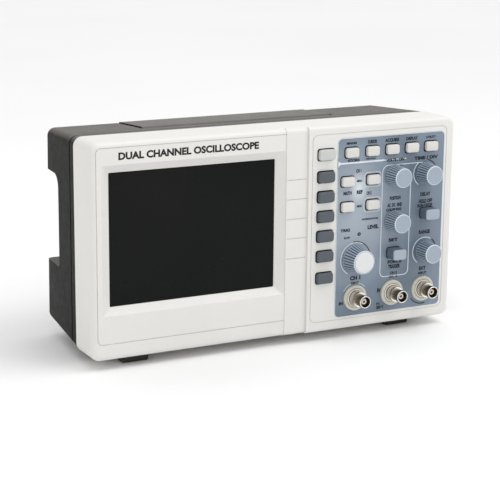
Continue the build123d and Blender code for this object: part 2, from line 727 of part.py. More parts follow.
with BuildPart() as bnc_collars:
    with BuildSketch(front(SOCKET_SEAT)):
        with Locations(*SOCKETS):
            Circle(COLLAR_R)
            Circle(COLLAR_BORE_R, mode=Mode.SUBTRACT)
    extrude(amount=COLLAR_HEIGHT)
    chamfer(bnc_collars.faces().group_by(Axis.Y)[0].edges(), COLLAR_CHAMFER)
finish(bnc_collars.part, "bnc_collars")

# ---------------------------------------------------------------- boards and shield

SHIELD = (57.0, 131.0, 12.0, 32.0)
SHIELD_DEPTHS = (16.0, 33.0)
SHIELD_WALL = 0.6
SHIELD_CORNER_R = 1.5
TRANSFORMER_PLACE = (-102.0, 88.0)
# width, height and corner radius of the transformer core and its coil
CORE = (36.0, 30.0, 1.0)
COIL = (22.0, 40.0, 4.0)
CORE_LIFT = 3.0
CORE_DEPTH = 14.0
COIL_DEPTH = 20.0

with BuildPart() as input_shield:
    with BuildSketch(front(SHIELD_DEPTHS[1])):
        with Locations(middle_of(SHIELD)):
            RectangleRounded(*size_of(SHIELD), SHIELD_CORNER_R)
    extrude(amount=SHIELD_DEPTHS[1] - SHIELD_DEPTHS[0])
    with BuildSketch(front(SHIELD_DEPTHS[1])):
        with Locations(middle_of(SHIELD)):
            Rectangle(*size_of(grown(SHIELD, -SHIELD_WALL)))
    extrude(amount=SHIELD_DEPTHS[1] - SHIELD_DEPTHS[0] - SHIELD_WALL, mode=Mode.SUBTRACT)
finish(input_shield.part, "input_shield")

for name, area in (("main_board", MAIN_BOARD), ("power_board", POWER_BOARD)):
    with BuildPart() as board:
        with BuildSketch(front(BOARD_FRONT + BOARD_THICKNESS)):
            with Locations(middle_of(area)):
                RectangleRounded(*size_of(area), BOARD_CORNER_R)
            with Locations(*SCREWS):
                Circle(POST_R + POST_GAP, mode=Mode.SUBTRACT)
        extrude(amount=BOARD_THICKNESS)
    finish(board.part, name)

with BuildPart() as power_transformer:
    with BuildSketch(front(BOARD_FRONT + BOARD_THICKNESS + COIL_DEPTH)):
        with Locations(TRANSFORMER_PLACE):
            RectangleRounded(*COIL)
    extrude(amount=COIL_DEPTH)
    with BuildSketch(front(BOARD_FRONT + BOARD_THICKNESS + CORE_LIFT + CORE_DEPTH)):
        with Locations(TRANSFORMER_PLACE):
            RectangleRounded(*CORE)
    extrude(amount=CORE_DEPTH)
finish(power_transformer.part, "power_transformer")

# ---------------------------------------------------------------- rear case

TUB_X = (HANDLE_X[0] - HANDLE_TUB_GAP, HANDLE_X[1] + HANDLE_TUB_GAP)
TUB_WIDTH = TUB_X[1] - TUB_X[0]
TUB_MIDDLE = (TUB_X[0] + TUB_X[1]) / 2
TUB_LENGTH = 80.0  # past the back of the case
TUB_CUT = 30.0  # past the top of the case
PIVOT_HEIGHT = HANDLE_PROUD - HANDLE_THICKNESS / 2
PIVOT_POINT = top_plane(PIVOT_HEIGHT).from_local_coords(Vector(0, HANDLE_PIVOT, 0))


def notch_outline(grow):
    """Side profile of the recess across the back, each side moved outwards by grow."""
    low = NOTCH_BOTTOM - grow
    high = NOTCH_TOP + grow
    floor = NOTCH_FLOOR - grow
    back = TOTAL_DEPTH + PAST
    with BuildSketch() as outline:
        with BuildLine():
            Polyline((back, low), (floor + NOTCH_BOTTOM_R, low))
            RadiusArc((floor + NOTCH_BOTTOM_R, low), (floor, low + NOTCH_BOTTOM_R), NOTCH_BOTTOM_R)
            Polyline((floor, low + NOTCH_BOTTOM_R), (floor, high - NOTCH_TOP_R))
            RadiusArc((floor, high - NOTCH_TOP_R), (floor + NOTCH_TOP_R, high), NOTCH_TOP_R)
            Polyline((floor + NOTCH_TOP_R, high), (back, high), (back, low))
        make_face()
    return outline.sketch


with BuildPart() as case_cavity:
    loft(case_loft(BEZEL_DEPTH - OVERCUT, CASE_WALL, CASE_WALL))
    with BuildSketch(side(-WIDTH)):
        add(notch_outline(CASE_WALL))
    extrude(amount=2 * WIDTH, mode=Mode.SUBTRACT)
    with BuildSketch(top_plane(-HANDLE_TUB_DEPTH - CASE_WALL)):
        with Locations((TUB_MIDDLE, TUB_LENGTH / 2 - CASE_WALL)):
            Rectangle(TUB_WIDTH + 2 * CASE_WALL, TUB_LENGTH)
    extrude(amount=TUB_CUT, mode=Mode.SUBTRACT)
    with BuildSketch(side(TUB_X[0] - PIN_POCKET)):
        with Locations((PIVOT_POINT.Y - FRONT_Y, PIVOT_POINT.Z - DATUM)):
            Rectangle(2 * PIN_BOSS_R, 2 * PIN_BOSS_R)
    extrude(amount=TUB_WIDTH + 2 * PIN_POCKET, mode=Mode.SUBTRACT)
    with BuildSketch(front(TOTAL_DEPTH)):
        with Locations(*SCREWS):
            Circle(WELL_R + WELL_WALL)
    extrude(amount=TOTAL_DEPTH - POST_END - POST_CLEARANCE, mode=Mode.SUBTRACT)
    with BuildSketch(front(NOTCH_FLOOR)):
        with Locations(*PANEL_SCREWS):
            Circle(PANEL_BOSS_R)
    extrude(amount=PANEL_BOSS_DEPTH, mode=Mode.SUBTRACT)

with BuildPart() as rear_case:
    loft(case_loft(BEZEL_DEPTH, JOINT_INSET, 0.0))
    fillet(rear_case.faces().sort_by(Axis.Y)[-1].edges(), REAR_ROUNDING)
    with BuildSketch(side(-WIDTH)):
        add(notch_outline(0.0))
    extrude(amount=2 * WIDTH, mode=Mode.SUBTRACT)
    # groove round the case
    width, low, high, radius = case_section(CASE_GROOVE_DEPTH, 0.0)
    with BuildSketch(front(CASE_GROOVE_DEPTH + CASE_GROOVE_WIDTH)):
        with Locations((0, (low + high) / 2)):
            Rectangle(width + PAST, high - low + PAST)
            inner = (width - 2 * CASE_GROOVE_CUT, high - low - 2 * CASE_GROOVE_CUT)
            RectangleRounded(*inner, radius, mode=Mode.SUBTRACT)
    extrude(amount=CASE_GROOVE_WIDTH, mode=Mode.SUBTRACT)
    # tub for the handle
    with BuildSketch(top_plane(-HANDLE_TUB_DEPTH)):
        with Locations((TUB_MIDDLE, TUB_LENGTH / 2)):
            Rectangle(TUB_WIDTH, TUB_LENGTH)
    extrude(amount=TUB_CUT, mode=Mode.SUBTRACT)
    add(case_cavity.part, mode=Mode.SUBTRACT)
    # bores for the handle's pins
    with BuildSketch(side(TUB_X[0] - PIN_BORE_LENGTH)):
        with Locations((PIVOT_POINT.Y - FRONT_Y, PIVOT_POINT.Z - DATUM)):
            Circle(PIN_BORE_R)
    extrude(amount=TUB_WIDTH + 2 * PIN_BORE_LENGTH, mode=Mode.SUBTRACT)
    # wells for the case screws
    with BuildSketch(front(TOTAL_DEPTH + OVERCUT)):
        with Locations(*SCREWS):
            Circle(WELL_R)
    extrude(amount=TOTAL_DEPTH + OVERCUT - WELL_FLOOR, mode=Mode.SUBTRACT)
    with BuildSketch(front(WELL_FLOOR + OVERCUT)):
        with Locations(*SCREWS):
            Circle(WELL_HOLE_R)
    extrude(amount=WELL_FLOOR - POST_END + 2 * OVERCUT, mode=Mode.SUBTRACT)
    # opening and pocket for the rear panel
    with BuildSketch(front(NOTCH_FLOOR + OVERCUT)):
        with Locations(middle_of(PANEL_OPENING)):
            Rectangle(*size_of(PANEL_OPENING))
    extrude(amount=CASE_WALL + 2 * OVERCUT, mode=Mode.SUBTRACT)
    with BuildSketch(front(NOTCH_FLOOR + OVERCUT)):
        with Locations(middle_of(PANEL)):
            Rectangle(*size_of(grown(PANEL, PANEL_FIT)))
    extrude(amount=PANEL_THICKNESS + OVERCUT, mode=Mode.SUBTRACT)
    with BuildSketch(front(NOTCH_FLOOR)):
        with Locations(*PANEL_SCREWS):
            Circle(PANEL_SCREW_R)
    extrude(amount=PANEL_BOSS_DEPTH + OVERCUT, mode=Mode.SUBTRACT)
    # air slots in the bottom
    with BuildSketch(Plane.XY):
        with Locations((0, FRONT_Y + AIR_SLOT_DEPTH)):
            with GridLocations(AIR_SLOT_PITCH, 1.0, AIR_SLOT_COUNT, 1):
                SlotOverall(*AIR_SLOT, rotation=90)
    extrude(amount=DATUM + PAST, mode=Mode.SUBTRACT)
finish(rear_case.part, "rear_case")

# ---------------------------------------------------------------- carry handle

HANDLE_WIDTH = HANDLE_X[1] - HANDLE_X[0]
HANDLE_MIDDLE = (HANDLE_X[0] + HANDLE_X[1]) / 2
HANDLE_BACK = HANDLE_TUB_GAP + HANDLE_LENGTH

with BuildPart() as carry_handle:
    with BuildSketch(top_plane(HANDLE_PROUD - HANDLE_THICKNESS)):
        with Locations((HANDLE_MIDDLE, HANDLE_TUB_GAP + HANDLE_LENGTH / 2)):
            Rectangle(HANDLE_WIDTH, HANDLE_LENGTH)
    extrude(amount=HANDLE_THICKNESS)
    long_edges = carry_handle.edges().filter_by(Axis.X)
    fillet(long_edges.group_by(Axis.Y)[0] + long_edges.group_by(Axis.Y)[1], HANDLE_NOSE_R)
    fillet(carry_handle.edges().filter_by(Axis.X).group_by(Axis.Y)[-1], HANDLE_EDGE_R)
    # scoop in the underside, open at the back below a lip
    with BuildSketch(top_plane(HANDLE_PROUD - HANDLE_THICKNESS)):
        with Locations((HANDLE_MIDDLE, (SCOOP_RIM + HANDLE_BACK - LIP_LENGTH) / 2)):
            Rectangle(HANDLE_WIDTH - 2 * SCOOP_RIM, HANDLE_BACK - LIP_LENGTH - SCOOP_RIM)
    extrude(amount=SCOOP_DEPTH, mode=Mode.SUBTRACT)
    with BuildSketch(top_plane(HANDLE_PROUD - HANDLE_THICKNESS)):
        with Locations((HANDLE_MIDDLE, HANDLE_BACK - LIP_LENGTH)):
            Rectangle(HANDLE_WIDTH - 2 * SCOOP_RIM, 2 * LIP_LENGTH + LIP_EXTRA)
    extrude(amount=LIP_CLEARANCE, mode=Mode.SUBTRACT)
    for x_start in (HANDLE_X[0], HANDLE_X[1] - PIN_IN_ARM):
        with BuildSketch(side(x_start)):
            with Locations((PIVOT_POINT.Y - FRONT_Y, PIVOT_POINT.Z - DATUM)):
                Circle(PIN_R)
        extrude(amount=PIN_IN_ARM, mode=Mode.SUBTRACT)
finish(carry_handle.part, "carry_handle")

with BuildPart() as handle_pins:
    for x_start in (TUB_X[0] - PIN_IN_WALL, HANDLE_X[1] - PIN_IN_ARM):
        with BuildSketch(side(x_start)):
            with Locations((PIVOT_POINT.Y - FRONT_Y, PIVOT_POINT.Z - DATUM)):
                Circle(PIN_R)
        extrude(amount=PIN_IN_ARM + HANDLE_TUB_GAP + PIN_IN_WALL)
finish(handle_pins.part, "handle_pins")

# ---------------------------------------------------------------- rear panel

with BuildPart() as rear_panel:
    with BuildSketch(front(NOTCH_FLOOR)):
        with Locations(middle_of(PANEL)):
            Rectangle(*size_of(PANEL))
        with Locations(*PANEL_SCREWS):
            Circle(PANEL_SCREW_HOLE_R, mode=Mode.SUBTRACT)
        with Locations((FAN_X, PANEL_HEIGHT)):
            Circle(VENT_R, mode=Mode.SUBTRACT)
            for ring, holes in VENT_RINGS:
                with PolarLocations(ring, holes):
                    Circle(VENT_R, mode=Mode.SUBTRACT)
        with Locations((USB_X, PANEL_HEIGHT)):
            Rectangle(USB_BODY[0] + CUTOUT_FIT, USB_BODY[1] + CUTOUT_FIT, mode=Mode.SUBTRACT)
        with Locations((SWITCH_X, PANEL_HEIGHT)):
            Rectangle(ROCKER_CUTOUT[0] + CUTOUT_FIT, ROCKER_CUTOUT[1] + CUTOUT_FIT, mode=Mode.SUBTRACT)
        with Locations((INLET_X, PANEL_HEIGHT)):
            Rectangle(INLET_BODY[0] + CUTOUT_FIT, INLET_BODY[1] + CUTOUT_FIT, mode=Mode.SUBTRACT)
    extrude(amount=PANEL_THICKNESS)
finish(rear_panel.part, "rear_panel")

INLET_FRONT = 53.0
INLET_CAVITY_DEPTH = 17.0
INLET_OUT = 2.2
CAVITY_FLOOR = NOTCH_FLOOR + INLET_OUT - INLET_CAVITY_DEPTH
INLET_PIN = (2.0, 4.0)
INLET_PIN_TIP = NOTCH_FLOOR + INLET_OUT - 2.5
INLET_PIN_TAIL = 5.0
INLET_FLANGE_R = 2.0
INLET_BEVEL = 5.0
INLET_PINS = [(INLET_X + dx, PANEL_HEIGHT + dz) for dx, dz in ((-7.0, -2.0), (0.0, 2.0), (7.0, -2.0))]

with BuildPart() as power_inlet:
    with BuildSketch(front(NOTCH_FLOOR)):
        with Locations((INLET_X, PANEL_HEIGHT)):
            Rectangle(*INLET_BODY)
    extrude(amount=NOTCH_FLOOR - INLET_FRONT)
    with BuildSketch(front(NOTCH_FLOOR + INLET_OUT)):
        with Locations((INLET_X, PANEL_HEIGHT)):
            RectangleRounded(*INLET_FLANGE, INLET_FLANGE_R)
    extrude(amount=INLET_OUT)
    with BuildSketch(front(NOTCH_FLOOR + INLET_OUT)) as inlet_mouth:
        with Locations((INLET_X, PANEL_HEIGHT)):
            Rectangle(*INLET_CAVITY)
        chamfer(inlet_mouth.vertices().group_by(Axis.Y)[-1], INLET_BEVEL)
    extrude(amount=INLET_CAVITY_DEPTH, mode=Mode.SUBTRACT)
    with BuildSketch(front(CAVITY_FLOOR + OVERCUT)):
        with Locations(*INLET_PINS):
            Rectangle(*INLET_PIN)
    extrude(amount=CAVITY_FLOOR - INLET_FRONT + 2 * OVERCUT, mode=Mode.SUBTRACT)
finish(power_inlet.part, "power_inlet")

with BuildPart() as inlet_pins:
    with BuildSketch(front(INLET_PIN_TIP)):
        with Locations(*INLET_PINS):
            Rectangle(*INLET_PIN)
    extrude(amount=INLET_PIN_TIP - INLET_FRONT + INLET_PIN_TAIL)
finish(inlet_pins.part, "inlet_pins")

SWITCH_FRONT_END = 58.0
SWITCH_OUT = 1.5
SWITCH_FLANGE_R = 1.0
SWITCH_WALLS = (2.0, 1.4)  # both walls together, across and up
SWITCH_POCKET = 14.0
ROCKER_AXIS_DEPTH = NOTCH_FLOOR - 4.0
ROCKER_PIN_R = 1.2
ROCKER_BORE_R = 1.25
ROCKER_BORE_WALL = 0.3
ROCKER_PIN_INSET = 0.5
ROCKER_INSET = 1.4  # from the cut-out to the side of the rocker
ROCKER_HALF = 8.0
# side profile of the rocker round its axis: depth, height
ROCKER_PROFILE = [
    (7.2, ROCKER_HALF),
    (5.2, 0),
    (7.2, -ROCKER_HALF),
    (0.5, -ROCKER_HALF + 0.8),
    (-4.0, -3.0),
    (-4.0, 3.0),
    (0.5, ROCKER_HALF - 0.8),
]

with BuildPart() as switch_frame:
    with BuildSketch(front(NOTCH_FLOOR)):
        with Locations((SWITCH_X, PANEL_HEIGHT)):
            Rectangle(*ROCKER_CUTOUT)
    extrude(amount=NOTCH_FLOOR - SWITCH_FRONT_END)
    with BuildSketch(front(NOTCH_FLOOR + SWITCH_OUT)):
        with Locations((SWITCH_X, PANEL_HEIGHT)):
            RectangleRounded(*ROCKER_FLANGE, SWITCH_FLANGE_R)
    extrude(amount=SWITCH_OUT)
    with BuildSketch(front(NOTCH_FLOOR + SWITCH_OUT)):
        with Locations((SWITCH_X, PANEL_HEIGHT)):
            Rectangle(ROCKER_CUTOUT[0] - SWITCH_WALLS[0], ROCKER_CUTOUT[1] - SWITCH_WALLS[1])
    extrude(amount=SWITCH_POCKET, mode=Mode.SUBTRACT)
    with BuildSketch(side(SWITCH_X)):
        with Locations((ROCKER_AXIS_DEPTH, PANEL_HEIGHT)):
            Circle(ROCKER_BORE_R)
    extrude(amount=ROCKER_CUTOUT[0] / 2 - ROCKER_BORE_WALL, both=True, mode=Mode.SUBTRACT)
finish(switch_frame.part, "switch_frame")

with BuildPart() as power_rocker:
    with BuildSketch(side(SWITCH_X)):
        with Locations((ROCKER_AXIS_DEPTH, PANEL_HEIGHT)):
            Polygon(*ROCKER_PROFILE, rotation=ROCKER_TILT, align=None)
    extrude(amount=ROCKER_CUTOUT[0] / 2 - ROCKER_INSET, both=True)
    with BuildSketch(side(SWITCH_X)):
        with Locations((ROCKER_AXIS_DEPTH, PANEL_HEIGHT)):
            Circle(ROCKER_PIN_R)
    extrude(amount=ROCKER_CUTOUT[0] / 2 - ROCKER_PIN_INSET, both=True)
finish(power_rocker.part, "power_rocker")

USB_SOCKET = (8.5, 7.8)
USB_TONGUE = (5.6, 3.2)
USB_OUT = 0.6
USB_LENGTH = 12.0
USB_BACK_WALL = 4.0
with BuildPart() as usb_port:
    with BuildSketch(front(NOTCH_FLOOR + USB_OUT)):
        with Locations((USB_X, PANEL_HEIGHT)):
            Rectangle(*USB_BODY)
            Rectangle(*USB_SOCKET, mode=Mode.SUBTRACT)
    extrude(amount=USB_LENGTH)
    with BuildSketch(front(NOTCH_FLOOR + USB_OUT - USB_LENGTH)):
        with Locations((USB_X, PANEL_HEIGHT)):
            Rectangle(*USB_BODY)
    extrude(amount=USB_BACK_WALL)
    with BuildSketch(front(NOTCH_FLOOR - USB_OUT)):
        with Locations((USB_X, PANEL_HEIGHT)):
            Rectangle(*USB_TONGUE)
    extrude(amount=USB_LENGTH)
finish(usb_port.part, "usb_port")

# ---------------------------------------------------------------- fan

FAN_BACK = NOTCH_FLOOR - PANEL_THICKNESS
FAN_FRONT = FAN_BACK - FAN_DEPTH
FAN_PLACE = (FAN_X, PANEL_HEIGHT)
FAN_SPIDER = 1.6
FAN_CORNER_R = 3.0
FAN_SCREW_PITCH = 32.0
FAN_SCREW_R = 1.6
SPIDER_ARMS = 3
SPIDER_ARM = (FAN_BORE_R + 0.5, 2.4)
FAN_PIN_END = 2.0  # from the back of the frame
FAN_PIN_LENGTH = FAN_DEPTH - 3.0

with BuildPart() as fan_frame:
    with BuildSketch(front(FAN_BACK)):
        with Locations(FAN_PLACE):
            RectangleRounded(FAN_SIDE, FAN_SIDE, FAN_CORNER_R)
            Circle(FAN_BORE_R, mode=Mode.SUBTRACT)
            with GridLocations(FAN_SCREW_PITCH, FAN_SCREW_PITCH, 2, 2):
                Circle(FAN_SCREW_R, mode=Mode.SUBTRACT)
    extrude(amount=FAN_DEPTH)
    with BuildSketch(front(FAN_FRONT + FAN_SPIDER)):
        with Locations(FAN_PLACE):
            Circle(FAN_HUB_R)
            with PolarLocations(0, SPIDER_ARMS):
                Rectangle(*SPIDER_ARM, align=(Align.MIN, Align.CENTER))
    extrude(amount=FAN_SPIDER)
    with BuildSketch(front(FAN_BACK - FAN_PIN_END)):
        with Locations(FAN_PLACE):
            Circle(FAN_PIN_R)
    extrude(amount=FAN_PIN_LENGTH)
finish(fan_frame.part, "fan_frame")

ROTOR_FRONT = FAN_FRONT + FAN_SPIDER + 0.4
ROTOR_BACK = FAN_BACK - 0.8
ROTOR_CAP = 0.8
BLADES = 7
BLADE = (6.6, 1.2)
BLADE_PITCH = 35
BLADE_ROOT = 1.0

with BuildPart() as fan_rotor:
    with BuildSketch(front(ROTOR_BACK)):
        with Locations(FAN_PLACE):
            Circle(FAN_HUB_R)
    extrude(amount=ROTOR_BACK - ROTOR_FRONT)
    for blade in range(BLADES):
        bearing = 2 * math.pi * blade / BLADES
        root = Vector(FAN_PLACE[0], FRONT_Y + (ROTOR_FRONT + ROTOR_BACK) / 2, DATUM + FAN_PLACE[1])
        outward = Vector(math.cos(bearing), 0, math.sin(bearing))
        root += outward * (FAN_HUB_R - BLADE_ROOT)
        with BuildSketch(Plane(origin=root, x_dir=(0, 1, 0), z_dir=outward)):
            Rectangle(*BLADE, rotation=BLADE_PITCH)
        extrude(amount=FAN_BLADE_R - FAN_HUB_R + BLADE_ROOT)
    with BuildSketch(front(ROTOR_BACK)):
        with Locations(FAN_PLACE):
            Circle(FAN_BLADE_R + PAST)
            Circle(FAN_BLADE_R, mode=Mode.SUBTRACT)
    extrude(amount=ROTOR_BACK - ROTOR_FRONT, mode=Mode.SUBTRACT)
    with BuildSketch(front(ROTOR_BACK - ROTOR_CAP)):
        with Locations(FAN_PLACE):
            Circle(FAN_PIN_BORE_R)
    extrude(amount=ROTOR_BACK - ROTOR_FRONT, mode=Mode.SUBTRACT)
finish(fan_rotor.part, "fan_rotor")

# ---------------------------------------------------------------- feet and tilt legs

FOOT_TAPER = 1.2
FOOT_ROUNDING = (1.5, 1.6)
HEEL_R = 4.0
LEG_ROOM = LEG_THICKNESS + 15.0
LEG_PIN_WALL = 1.5
LEG_PIN_END_GAP = 0.3
LEG_BOSS_R = LEG_THICKNESS / 2 + 0.8
NECK_LENGTH = 8.0
PADDLE_START = LEG_PIVOT[0] + 5.5
LEG_TIP_R = LEG_THICKNESS / 2 - 0.1

with BuildPart() as feet:
    for sign in (-1, 1):
        with BuildSketch(side(sign * FOOT_X)):
            with BuildLine():
                Polyline(
                    (FRONT_FOOT[0], LOW_EDGE),
                    (FRONT_FOOT[0] + FOOT_TAPER, -DATUM + FOOT_ROUNDING[0]),
                    (FRONT_FOOT[0] + FOOT_TAPER + FOOT_ROUNDING[1], -DATUM),
                    (LEG_PIVOT[0], -DATUM),
                )
                RadiusArc((LEG_PIVOT[0], -DATUM), (FRONT_FOOT[1], LEG_PIVOT[1]), -HEEL_R)
                heel = (FRONT_FOOT[1], LEG_PIVOT[1])
                Polyline(heel, (FRONT_FOOT[1], LOW_EDGE), (FRONT_FOOT[0], LOW_EDGE))
            make_face()
        extrude(amount=FOOT_WIDTH / 2, both=True)
        with BuildSketch(side(sign * FOOT_X)):
            with Locations((LEG_PIVOT[0] - LEG_CLEARANCE, LOW_EDGE)):
                Rectangle(LEG_ROOM, DATUM, align=(Align.MIN, Align.MAX))
        extrude(amount=LEG_SLOT / 2, both=True, mode=Mode.SUBTRACT)
        with BuildSketch(side(sign * FOOT_X)):
            with Locations(LEG_PIVOT):
                Circle(LEG_PIN_BORE_R)
        extrude(amount=FOOT_WIDTH / 2 - LEG_PIN_WALL, both=True, mode=Mode.SUBTRACT)
        rear_low = case_section(REAR_FOOT[0], 0.0)[1]
        rear_high = case_section(REAR_FOOT[1], 0.0)[1]
        with BuildSketch(side(sign * FOOT_X)):
            with BuildLine():
                Polyline(
                    (REAR_FOOT[0], rear_low),
                    (REAR_FOOT[0] + FOOT_TAPER, -DATUM),
                    (REAR_FOOT[1] - FOOT_TAPER, -DATUM),
                    (REAR_FOOT[1], rear_high),
                    (REAR_FOOT[0], rear_low),
                )
            make_face()
        extrude(amount=FOOT_WIDTH / 2, both=True)
finish(feet.part, "feet")

for name, sign in (("tilt_leg_left", -1), ("tilt_leg_right", 1)):
    with BuildPart() as tilt_leg:
        with BuildSketch(side(sign * FOOT_X)):
            with Locations(LEG_PIVOT):
                Circle(LEG_BOSS_R)
            with Locations(LEG_PIVOT):
                Rectangle(NECK_LENGTH, LEG_THICKNESS, align=(Align.MIN, Align.CENTER))
        extrude(amount=LEG_NECK / 2, both=True)
        with BuildSketch(side(sign * FOOT_X)):
            with Locations((PADDLE_START, LEG_PIVOT[1])):
                Rectangle(LEG_TIP - PADDLE_START, LEG_THICKNESS, align=(Align.MIN, Align.CENTER))
        extrude(amount=LEG_WIDTH / 2, both=True)
        tip_edges = tilt_leg.faces().sort_by(Axis.Y)[-1].edges().filter_by(Axis.X)
        fillet(tip_edges, LEG_TIP_R)
        with BuildSketch(side(sign * FOOT_X)):
            with Locations(LEG_PIVOT):
                Circle(LEG_PIN_R)
        extrude(amount=FOOT_WIDTH / 2 - LEG_PIN_WALL - LEG_PIN_END_GAP, both=True)
    finish(tilt_leg.part, name)

# ---------------------------------------------------------------- screws

SLOT = (3.2, 0.8)  # one arm of the cross in a screw's head

with BuildPart() as case_screws:
    with BuildSketch(front(WELL_FLOOR)):
        with Locations(*SCREWS):
            Circle(SCREW_R)
    extrude(amount=SCREW_LENGTH)
    with BuildSketch(front(WELL_FLOOR + SCREW_HEAD_HEIGHT)):
        with Locations(*SCREWS):
            Circle(SCREW_HEAD_R)
    extrude(amount=SCREW_HEAD_HEIGHT)
    with BuildSketch(front(WELL_FLOOR + SCREW_HEAD_HEIGHT)):
        with Locations(*SCREWS):
            Rectangle(*SLOT)
            Rectangle(*reversed(SLOT))
    extrude(amount=SCREW_HEAD_HEIGHT / 2, mode=Mode.SUBTRACT)
    with BuildSketch(front(NOTCH_FLOOR)):
        with Locations(*PANEL_SCREWS):
            Circle(PANEL_SCREW_R)
    extrude(amount=PANEL_SCREW_LENGTH)
    with BuildSketch(front(NOTCH_FLOOR + PANEL_SCREW_HEAD_HEIGHT)):
        with Locations(*PANEL_SCREWS):
            Circle(PANEL_SCREW_HEAD_R)
    extrude(amount=PANEL_SCREW_HEAD_HEIGHT)
    with BuildSketch(front(NOTCH_FLOOR + PANEL_SCREW_HEAD_HEIGHT)):
        with Locations(*PANEL_SCREWS):
            Rectangle(*SLOT)
            Rectangle(*reversed(SLOT))
    extrude(amount=PANEL_SCREW_HEAD_HEIGHT / 2, mode=Mode.SUBTRACT)
finish(case_screws.part, "case_screws")
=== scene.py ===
"""Looks for the bench oscilloscope: materials, detailed pieces, printing, light and camera.

Everything is in metres in the part's frame. Positions come from the frame's own nodes. Places on the front
are given as (x, height) in millimetres, height above a datum a little over the bezel's lower edge, and
depth in millimetres behind the face of the control half, so that a proud piece has a negative depth.
"""

import json
import math

import bmesh
import bpy
from mathutils import Matrix, Vector

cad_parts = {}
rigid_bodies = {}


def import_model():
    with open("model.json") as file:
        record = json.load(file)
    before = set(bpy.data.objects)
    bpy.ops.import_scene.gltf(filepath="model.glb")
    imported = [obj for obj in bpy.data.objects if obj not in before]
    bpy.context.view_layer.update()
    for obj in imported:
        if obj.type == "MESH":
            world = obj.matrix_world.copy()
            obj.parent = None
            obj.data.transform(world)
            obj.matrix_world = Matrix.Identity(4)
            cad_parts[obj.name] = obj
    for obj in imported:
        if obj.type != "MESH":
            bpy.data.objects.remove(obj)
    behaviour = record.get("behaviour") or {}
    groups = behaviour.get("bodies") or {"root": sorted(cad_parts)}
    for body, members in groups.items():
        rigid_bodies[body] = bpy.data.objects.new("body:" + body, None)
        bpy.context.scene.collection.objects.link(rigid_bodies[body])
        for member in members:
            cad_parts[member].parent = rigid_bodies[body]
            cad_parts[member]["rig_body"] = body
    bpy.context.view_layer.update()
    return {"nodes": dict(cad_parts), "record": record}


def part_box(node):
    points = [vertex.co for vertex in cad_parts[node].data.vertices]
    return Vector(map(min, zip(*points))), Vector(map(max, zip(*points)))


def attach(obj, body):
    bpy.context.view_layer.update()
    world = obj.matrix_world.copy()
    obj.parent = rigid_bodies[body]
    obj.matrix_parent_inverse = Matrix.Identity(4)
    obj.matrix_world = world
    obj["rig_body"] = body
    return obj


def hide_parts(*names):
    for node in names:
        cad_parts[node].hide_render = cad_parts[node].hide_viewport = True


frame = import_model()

MM = 0.001
NODES = frame["nodes"]

# the control face, that the label stands proud of, and the datum above the bezel's lower edge
LABEL_PROUD = 0.15
LOW_EDGE = -2.6
FACE_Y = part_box("control_overlay")[0].y + LABEL_PROUD * MM
DATUM_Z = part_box("front_bezel")[0].z - LOW_EDGE * MM
BODY_OF = {node: obj["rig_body"] for node, obj in NODES.items()}


def at(x, depth, height):
    """A front-view place in millimetres as a point in metres."""
    return Vector((x * MM, FACE_Y + depth * MM, DATUM_Z + height * MM))


def place_of(node):
    """The middle of a node as (x, height) in front-view millimetres."""
    low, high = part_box(node)
    middle = (low + high) / 2
    return middle.x / MM, (middle.z - DATUM_Z) / MM


# ---------------------------------------------------------------- materials


def linear(r, g, b):
    """An sRGB colour in 0-255 as linear RGBA."""

    def one(value):
        share = value / 255
        return share / 12.92 if share <= 0.04045 else ((share + 0.055) / 1.055) ** 2.4

    return one(r), one(g), one(b), 1.0


